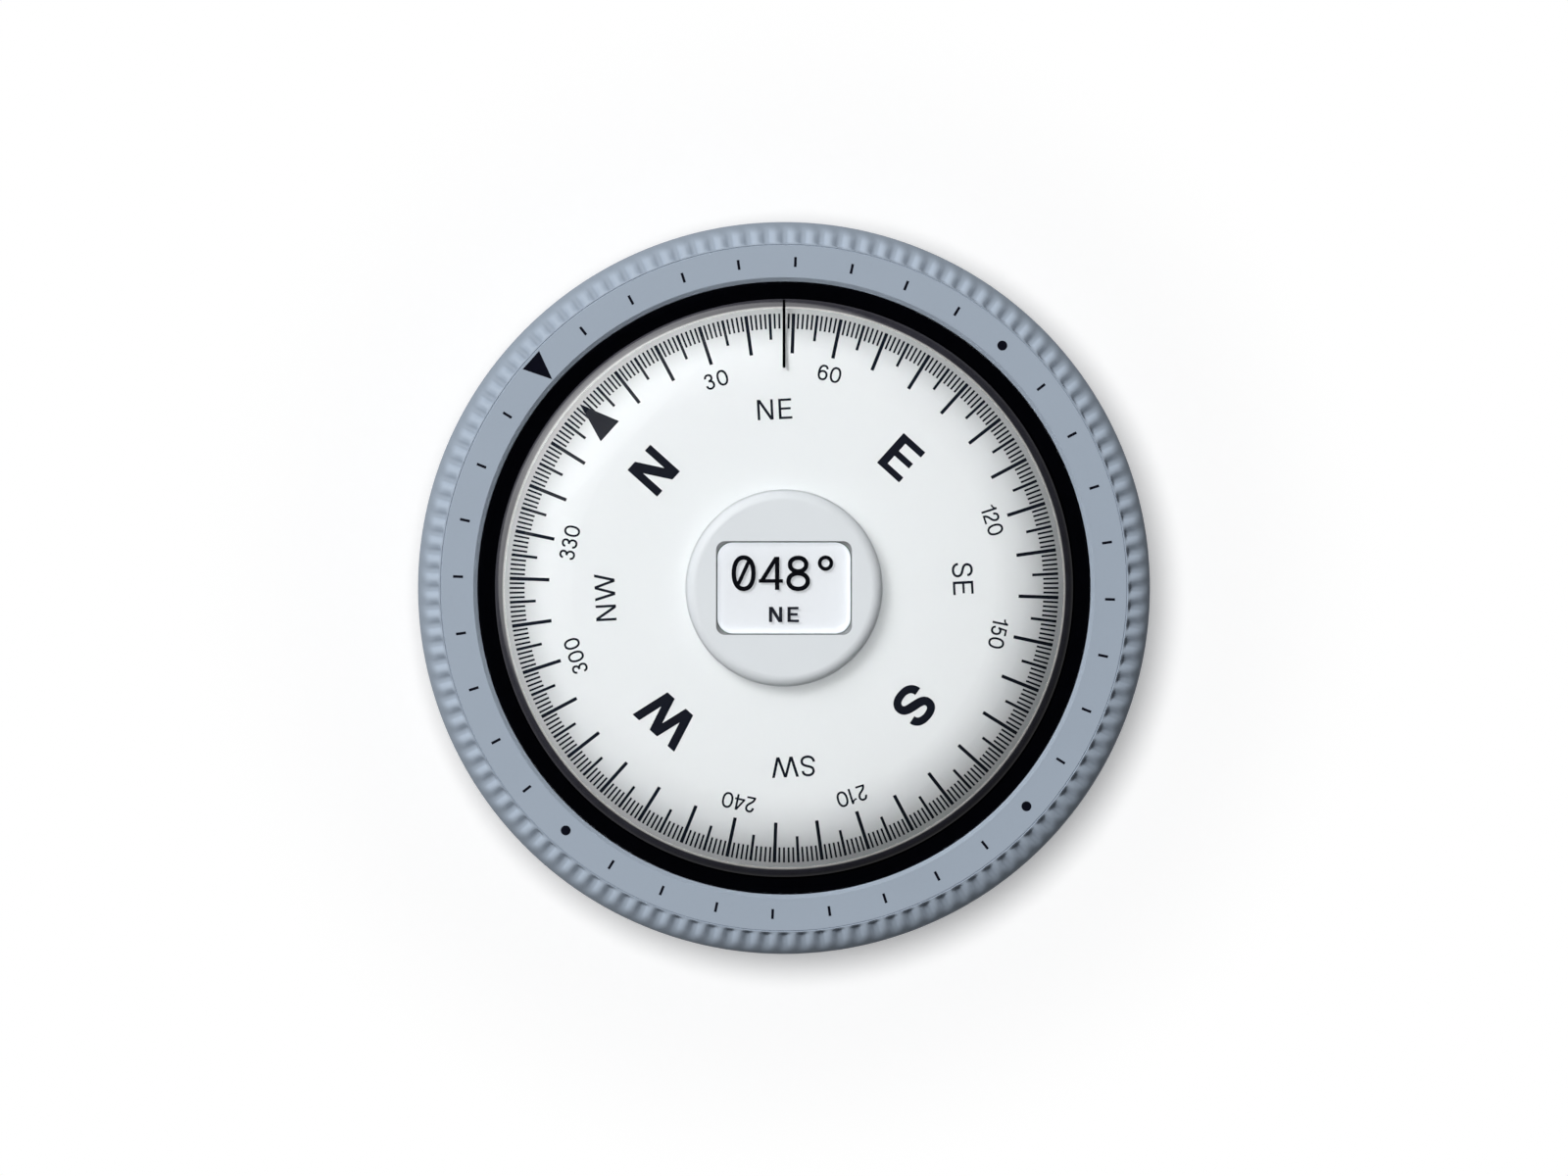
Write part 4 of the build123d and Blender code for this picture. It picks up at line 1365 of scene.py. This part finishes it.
@dataclass
class Card:
    """Compass card with its printed scale, and the hub and magnets under it."""

    heading: float = 48.0
    top: float = 15.7
    seat: float = 12.305
    crown: float = 120.0
    roll_start: float = 22.0
    roll: float = 7.6
    roll_end: float = 30.0
    skirt: float = 15.6
    proud: float = 0.018
    thickness: float = 0.03
    tick_out: float = 279.0
    tick_in: tuple[float, float, float] = (264.5, 253.4, 239.3)
    tick_width: tuple[float, float, float] = (2.0, 2.8, 3.5)
    north_in: float = 238.8
    north_width: float = 28.0
    north_tip: float = 0.4
    bold_at: float = 178.7
    thin_at: float = 182.4
    figure_at: float = 223.2
    thin_gaps: tuple[tuple[str, float], ...] = (("NE", 5.5), ("SE", 4.0), ("SW", 2.2), ("NW", 4.2))
    figure_marks: tuple[int, ...] = (30, 60, 120, 150, 210, 240, 300, 330)
    figure_gaps: tuple[float, ...] = (3.3, 2.2, 2.2, 2.2, 2.2, 1.4, 2.2, 2.2)
    # The second tone, reached between 24.5 and 29 mm from the axis, is painted shade at the card's rim.
    face: Enamel = Enamel((0.86, 0.89, 0.90), (0.52, 0.535, 0.543), 24.5, 29.0)
    ink: Ink = Ink((0.004, 0.006, 0.013))
    hub: Moulded = Moulded((0.55, 0.56, 0.57))
    magnet: BareMetal = BareMetal((0.62, 0.60, 0.56), 0.22)
    screw: BareMetal = BareMetal((0.60, 0.61, 0.62), 0.3)

    def height(self, radius: float) -> float:
        """Height of the card's face at a distance from the axis: seat, crown, roll and skirt.

        Args:
            radius: The distance, in millimetres.

        Returns:
            The height, in millimetres.
        """
        across, up, slope = self.seat, self.top, 0.0
        ends = (math.asin((self.roll_start - self.seat) / self.crown), math.radians(self.roll_end), math.pi / 2)
        for bow, end in zip((self.crown, self.roll, self.skirt), ends):
            middle = (across - bow * math.sin(slope), up - bow * math.cos(slope))
            across, up, slope = middle[0] + bow * math.sin(end), middle[1] + bow * math.cos(end), end
            if radius < across:
                break
        return middle[1] + math.sqrt(bow**2 - (max(radius, self.seat) - middle[0]) ** 2)

    def lay(self, bearing: float, radius: float = 0.0) -> Surface:
        """How a drawing is laid on the card.

        Args:
            bearing: The card's own bearing that the drawing stands at, in degrees clockwise.
            radius: The drawing's centre from the axis, on the lettering grid.

        Returns:
            The way from a point of the drawing, in millimetres, to the print's face.
        """
        turn = math.radians(self.heading - bearing)

        def place(point: Point) -> Vector:
            """Turn a point to its bearing and drop it on the card's profile.

            Args:
                point: The point, in millimetres.

            Returns:
                The point of the print's face.
            """
            out = point[1] + radius * GRID
            x = point[0] * math.cos(turn) - out * math.sin(turn)
            y = point[0] * math.sin(turn) + out * math.cos(turn)
            return Vector((x, y, self.height(math.hypot(x, y)) + self.proud))

        return place

    def layer(self, name: str, drawings: Iterable[tuple[float, float, Iterable[Ribbon]]]) -> PrintedLayer:
        """Print several drawings as one piece.

        Args:
            name: The piece's name.
            drawings: The bearing, the radius and the strokes of each, on the lettering grid.

        Returns:
            The layer.
        """
        made = PrintedLayer(name, self.lay(0.0), self.thickness)
        for bearing, radius, ribbons in drawings:
            made.lay = self.lay(bearing, radius)
            made.add(scaled(ribbon) for ribbon in ribbons)
        return made

    def ticks(self) -> list[tuple[float, float, list[Ribbon]]]:
        """The degree ticks, all but the one under the north mark.

        Returns:
            Each tick's bearing, radius and stroke.
        """
        drawings = []
        for degree in range(1, 360):
            rank = 2 if degree % 10 == 0 else 1 if degree % 5 == 0 else 0
            half = self.tick_width[rank] / 2
            drawings.append((float(degree), 0.0, [upright(-half, half, self.tick_in[rank], self.tick_out)]))
        return drawings

    def build(self, shop: Workshop) -> None:
        """Dress the card's nodes and print its scale.

        Args:
            shop: The nodes, and the pieces made so far.
        """
        shop.dress(self.face, "compass_card")
        shop.dress(self.hub, "card_hub")
        shop.dress(self.magnet, "card_magnets")
        shop.dress(self.screw, "card_screws")
        bold, thin, figures = bold_alphabet(), thin_alphabet(), figure_alphabet()
        half, tip = self.north_width / 2, self.north_tip / 2
        north = [slant((-half, half), self.north_in, (-tip, tip), self.tick_out)]
        large = [(90.0 * place, self.bold_at, bold.word(letter, 0.0)) for place, letter in enumerate("NESW")]
        small = [
            (45.0 + 90.0 * place, self.thin_at, thin.word(word, gap))
            for place, (word, gap) in enumerate(self.thin_gaps)
        ]
        numbers = [
            (float(mark), self.figure_at, figures.word(str(mark), gap))
            for mark, gap in zip(self.figure_marks, self.figure_gaps)
        ]
        layers = {
            "scale_ticks": self.ticks(),
            "north_mark": [(0.0, 0.0, north)],
            "main_letters": large,
            "quarter_letters": small,
            "degree_figures": numbers,
        }
        for name, drawings in layers.items():
            shop.fit(self.layer(name, drawings).piece(), self.ink, Body.CARD)


def scaled(ribbon: Ribbon) -> Ribbon:
    """A stroke in millimetres instead of steps of the lettering grid.

    Args:
        ribbon: The stroke on the grid.

    Returns:
        The stroke in millimetres.
    """
    left = tuple((x * GRID, y * GRID) for x, y in ribbon.left)
    right = tuple((x * GRID, y * GRID) for x, y in ribbon.right)
    return Ribbon(left, right, ribbon.closed)


@dataclass
class Bearing:
    """Ball bearing under the card, its clip and the hollow post."""

    steel: BareMetal = BareMetal((0.58, 0.59, 0.60), 0.2)
    clip: BareMetal = BareMetal((0.45, 0.46, 0.48), 0.35)
    cage: Moulded = Moulded((0.35, 0.20, 0.10))
    post: BareMetal = BareMetal((0.66, 0.50, 0.23), 0.26, 0.16, (0.30, 0.20, 0.09))

    def build(self, shop: Workshop) -> None:
        """Dress the bearing's nodes.

        Args:
            shop: The nodes, and the pieces made so far.
        """
        shop.dress(self.steel, "bearing_inner_ring", "bearing_outer_ring", "bearing_balls")
        shop.dress(self.clip, "bearing_clip")
        shop.dress(self.cage, "bearing_cage")
        shop.dress(self.post, "centre_post")


@dataclass
class Display:
    """Pod in the middle with its liquid-crystal display and the figures that it shows."""

    figure_top: float = 17.843
    figure_t: float = 0.02
    # The foot height paints shade on the lower part of the pod's rounded edge.
    cover: Moulded = Moulded((0.75, 0.787, 0.814), 0.55, 0.04, foot=17.72)
    base: Moulded = Moulded((0.60, 0.63, 0.65))
    plate: Plate = Plate((0.90, 0.918, 0.942))
    edge: Plate = Plate((0.88, 0.915, 0.95))
    glass: ClearGlass = ClearGlass((0.99, 0.995, 1.0), 1.25)
    gasket: Rubber = Rubber((0.24, 0.25, 0.255), 0.02)
    board: Laminate = Laminate((0.02, 0.12, 0.06), (0.10, 0.30, 0.12))
    figure_ink: Ink = Ink((0.0012, 0.0015, 0.004), 0.8, 0.0)
    letter_ink: Ink = Ink((0.010, 0.012, 0.020))

    def lay(self, point: Point) -> Vector:
        """Put a point of the drawing just under the display's front glass."""
        return Vector((point[0], point[1], self.figure_top))

    def figures(self) -> list[Ribbon]:
        """The heading in degrees: a slashed nought, four, eight and the degree ring.

        Returns:
            The strokes on the lettering grid.
        """
        return [
            loop((-41.1, 15.1), 10.0, 16.0, 2.3, 2.2),
            stroke([(-46.5, 4.0), (-35.5, 28.0)], (1.9, 1.9)),
            upright(-9.2, -4.7, -2.0, 31.8),
            upright(-25.8, -1.0, 5.3, 9.0),
            slant((-25.8, -20.6), 6.2, (-9.7, -4.8), 31.8),
            loop((14.35, 23.8), 8.25, 6.9, 2.3, 2.1),
            loop((14.4, 7.0), 9.8, 7.9, 2.3, 2.1),
            loop((42.3, 25.3), 5.95, 5.95, 1.9),
        ]

    def letters(self) -> list[Ribbon]:
        """The heading as a quarter point.

        Returns:
            The strokes on the lettering grid.
        """
        return [
            upright(-15.3, -12.0, -34.8, -19.2),
            upright(-5.1, -1.8, -34.8, -19.2),
            slant((-5.7, -1.8), -34.8, (-15.3, -11.4), -19.2),
            upright(3.5, 6.8, -34.8, -19.2),
            upright(3.5, 14.9, -21.8, -19.2),
            upright(3.5, 13.9, -28.1, -25.5),
            upright(3.5, 15.2, -34.8, -32.2),
        ]

    def build(self, shop: Workshop) -> None:
        """Dress the display's nodes and set its figures.

        Args:
            shop: The nodes, and the pieces made so far.
        """
        shop.dress(self.cover, "display_cover")
        shop.dress(self.base, "display_base")
        shop.dress(self.plate, "lcd_reflector")
        shop.dress(self.edge, "lcd_seal")
        shop.dress(self.glass, "lcd_glass")
        shop.dress(self.gasket, "display_gasket")
        shop.dress(self.board, "display_board")
        for name, strokes, ink in (
            ("heading_figures", self.figures(), self.figure_ink),
            ("heading_letters", self.letters(), self.letter_ink),
        ):
            layer = PrintedLayer(name, self.lay, self.figure_t).add(scaled(part) for part in strokes)
            shop.fit(layer.piece(), ink, Body.CASE)


@dataclass
class Electronics:
    """Circuit board, coin cell, contacts and the bridge over them."""

    board: Laminate = Laminate((0.02, 0.13, 0.06), (0.10, 0.32, 0.13))
    resin: Moulded = Moulded((0.03, 0.03, 0.034), 0.5)
    film: Film = Film((0.52, 0.26, 0.06), (0.60, 0.32, 0.16))
    contact: BareMetal = BareMetal((0.75, 0.58, 0.28), 0.25, 0.2, (0.40, 0.28, 0.12))
    cell: BareMetal = BareMetal((0.60, 0.61, 0.62), 0.3, 0.25)
    bridge: BareMetal = BareMetal((0.62, 0.63, 0.64), 0.38, 0.35)
    screw: BareMetal = BareMetal((0.52, 0.53, 0.54), 0.3)

    def build(self, shop: Workshop) -> None:
        """Dress the inside's nodes.

        Args:
            shop: The nodes, and the pieces made so far.
        """
        shop.dress(self.board, "circuit_board")
        shop.dress(self.resin, "controller_chip", "heading_sensor", "flex_connector")
        shop.dress(self.film, "display_flex")
        shop.dress(self.contact, "battery_negative_spring", "battery_positive_clip")
        shop.dress(self.cell, "coin_cell")
        shop.dress(self.bridge, "bridge")
        shop.dress(self.screw, "frame_screws")


class LampShape(Enum):
    """The outlines that an area lamp can have."""

    ROUND = "DISK"
    OBLONG = "RECTANGLE"


class Lights(Enum):
    """Which things a lamp shines on."""

    ONLY = "INCLUDE"
    ALL_BUT = "EXCLUDE"


@dataclass(frozen=True)
class Reach:
    """The objects that a lamp's light or its shadows are limited to, or kept off."""

    objects: tuple[bpy.types.Object, ...]
    lights: Lights

    def group(self, name: str) -> bpy.types.Collection:
        """Collect the objects under a name.

        Args:
            name: The collection's name.

        Returns:
            The collection, set to take them in or leave them out.
        """
        made = bpy.data.collections.new(name)
        for item in self.objects:
            made.objects.link(item)
        for entry in made.collection_objects:
            entry.light_linking.link_state = self.lights.value
        return made


@dataclass(frozen=True)
class Lamp:
    """One soft lamp that points at the compass."""

    name: str
    place: Place
    aim: Place
    size: Point
    power: float
    shape: LampShape = LampShape.ROUND
    roll: float = 0.0

    def build(self, receivers: Reach, blockers: Reach | None = None) -> None:
        """Set the lamp up.

        Args:
            receivers: The objects that it lights.
            blockers: The objects that throw its shadows, or None for all of them.
        """
        data = bpy.data.lights.new(self.name, "AREA")
        data.shape = self.shape.value
        data.size, data.size_y = self.size
        data.energy = self.power
        lamp = bpy.data.objects.new(self.name, data)
        lamp.location = self.place
        towards = (Vector(self.aim) - Vector(self.place)).to_track_quat("-Z", "Y")
        lamp.rotation_euler = (towards @ Quaternion((0.0, 0.0, 1.0), math.radians(self.roll))).to_euler()
        lamp.visible_camera = False
        bpy.context.scene.collection.objects.link(lamp)
        lamp.light_linking.receiver_collection = receivers.group(self.name + "_receivers")
        if blockers is not None:
            lamp.light_linking.blocker_collection = blockers.group(self.name + "_blockers")
        LOG.info("lamp %s", self.name)


@dataclass
class Studio:
    """White floor, sky and lamps."""

    key: Lamp = Lamp("key_lamp", MAIN_LIGHT, DIAL, (0.84, 0.84), 17.7)
    fill: Lamp = Lamp("fill_lamp", MAIN_LIGHT, DIAL, (0.84, 0.84), 26.6)
    card_fill: Lamp = Lamp("card_fill", MAIN_LIGHT, DIAL, (2.1, 2.1), 21.8)
    card_top: Lamp = Lamp("card_top", (0.0, 0.0, 2.0), DIAL, (0.84, 0.84), 5.8)
    pin_lamp: Lamp = Lamp("pin_lamp", MAIN_LIGHT, DIAL, (0.2, 0.2), 10.5)
    floor_lamp: Lamp = Lamp("floor_lamp", (-0.12, 0.12, 1.2), (0.0, 0.0, 0.0), (0.5, 0.5), 11.5)
    glare: Lamp = Lamp(
        "glare_lamp", (-0.0242, 0.0242, 0.62), (-0.0242, 0.0242, 0.0), (0.08, 0.015), 0.0009,
        LampShape.OBLONG, 45.0,
    )
    near_edge: Lamp = Lamp("near_edge", EDGE_LIGHT, SHOULDER, (0.44, 0.44), 13.0)
    wide_edge: Lamp = Lamp("wide_edge", EDGE_LIGHT, SHOULDER, (1.24, 1.24), 62.0)
    horizon: Colour = (0.46, 0.47, 0.48)
    zenith: Colour = (0.03, 0.03, 0.03)
    zenith_from: float = 0.85
    floor_half: float = 4.0
    floor_drop: float = 0.0001
    floor_tone: Colour = (0.80, 0.80, 0.80)
    floor_tooth: float = 1.2
    floor_glow: float = 0.28
    near_r: float = 44.0
    far_r: float = 64.0

    def sky(self) -> None:
        """A sky that is dark overhead and paler at the horizon, and white to the camera."""
        world = bpy.data.worlds.new("studio_sky")
        world.use_nodes = True
        bpy.context.scene.world = world
        tree = Tree(world.node_tree)
        height = tree.part(tree.out("ShaderNodeTexCoord", "Generated"), "Z")
        tone = tree.mix(tree.between(height, 0.0, self.zenith_from), self.horizon, self.zenith)
        around = tree.out("ShaderNodeBackground", 0, None, {"Color": tone, "Strength": 1.0})
        behind = tree.out("ShaderNodeBackground", 0, None, {"Color": WHITE, "Strength": 1.0})
        shown = tree.out("ShaderNodeMixShader", 0, None, {0: tree.path("Is Camera Ray"), 1: around, 2: behind})
        tree.node("ShaderNodeOutputWorld", None, {"Surface": shown})

    def floor(self) -> bpy.types.Object:
        """A white floor that keeps the compass's shadow.

        Returns:
            The floor object.
        """
        half = self.floor_half
        mesh = bpy.data.meshes.new("floor")
        corners = ((-half, -half), (half, -half), (half, half), (-half, half))
        mesh.from_pydata([(*corner, -self.floor_drop) for corner in corners], [], [(0, 1, 2, 3)])
        made = bpy.data.objects.new("floor", mesh)
        bpy.context.scene.collection.objects.link(made)
        shade = Shade("floor_paper")
        seen = shade.path("Is Camera Ray") | shade.path("Is Glossy Ray") | shade.path("Is Transmission Ray")
        white = shade.mix(seen, BLACK, WHITE)
        paper = shade.vary(shade.noise(self.floor_tooth), self.floor_tone, 0.99, 1.01)
        matt = shade.out("ShaderNodeBsdfDiffuse", 0, None, {"Color": paper})
        glow = shade.out("ShaderNodeEmission", 0, None, {"Color": white, "Strength": self.floor_glow})
        near = shade.out("ShaderNodeAddShader", 0, None, {0: matt, 1: glow})
        far = shade.out("ShaderNodeEmission", 0, None, {"Color": white, "Strength": 1.0})
        away = shade.between(shade.radius(), self.near_r, self.far_r)
        shader = shade.out("ShaderNodeMixShader", 0, None, {0: away, 1: near, 2: far})
        made.data.materials.append(shade.show(shader))
        return made

    def build(self, shop: Workshop) -> None:
        """Set up the sky, the floor and the lamps.

        Args:
            shop: The nodes, and the pieces made so far.
        """
        self.sky()
        floor = self.floor()
        crystal, edge, wall = (shop.pieces[name] for name in ("clear_crystal", "crystal_edge", "crystal_wall"))
        card, seal, ring = (shop.nodes[name] for name in ("compass_card", "lcd_seal", "crystal_ring"))
        soft = (shop.nodes["display_cover"], shop.pieces["heading_figures"], shop.pieces["heading_letters"])
        hard = (ring, edge, wall, seal)
        shaded, softened = Reach(hard, Lights.ALL_BUT), Reach((*hard, *soft), Lights.ALL_BUT)
        on_card = Reach((card,), Lights.ONLY)
        self.key.build(Reach((floor, crystal), Lights.ALL_BUT), shaded)
        self.fill.build(Reach((floor, crystal, card), Lights.ALL_BUT), softened)
        self.card_fill.build(on_card, shaded)
        self.card_top.build(on_card, shaded)
        self.pin_lamp.build(on_card, Reach((shop.nodes["lubber_pin"],), Lights.ONLY))
        self.floor_lamp.build(Reach((floor,), Lights.ONLY))
        self.glare.build(Reach((crystal,), Lights.ONLY))
        for lamp in (self.near_edge, self.wide_edge):
            lamp.build(Reach((edge,), Lights.ONLY))


@dataclass
class Viewpoint:
    """Camera straight above the compass with a long lens."""

    height: float = 3.0
    level: float = 0.012
    frame_width: float = PHOTO_WIDTH * GRID * MM
    sensor: float = 36.0
    sight: float = 20.0

    def build(self) -> None:
        """Set up the camera and make it the scene's own."""
        data = bpy.data.cameras.new("viewpoint")
        data.sensor_width = self.sensor
        data.lens = self.sensor * (self.height - self.level) / self.frame_width
        data.clip_end = self.sight
        camera = bpy.data.objects.new("viewpoint", data)
        camera.location = (0.0, 0.0, self.height)
        bpy.context.scene.collection.objects.link(camera)
        bpy.context.scene.camera = camera
        LOG.info("camera lens %.1f", data.lens)


def main() -> None:
    """Load the frame, dress it, light it and set up the camera."""
    logging.basicConfig(level=logging.INFO, format="%(message)s")
    for leftover in list(bpy.data.objects):
        bpy.data.objects.remove(leftover)
    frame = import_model()
    bpy.context.scene.view_settings.view_transform = "Standard"
    shop = Workshop(frame["nodes"])
    for assembly in (Case(), Bezel(), Crystal(), Card(), Bearing(), Display(), Electronics()):
        LOG.info("assembly %s", type(assembly).__name__)
        assembly.build(shop)
    Studio().build(shop)
    Viewpoint().build()


if __name__ == "__main__":
    main()
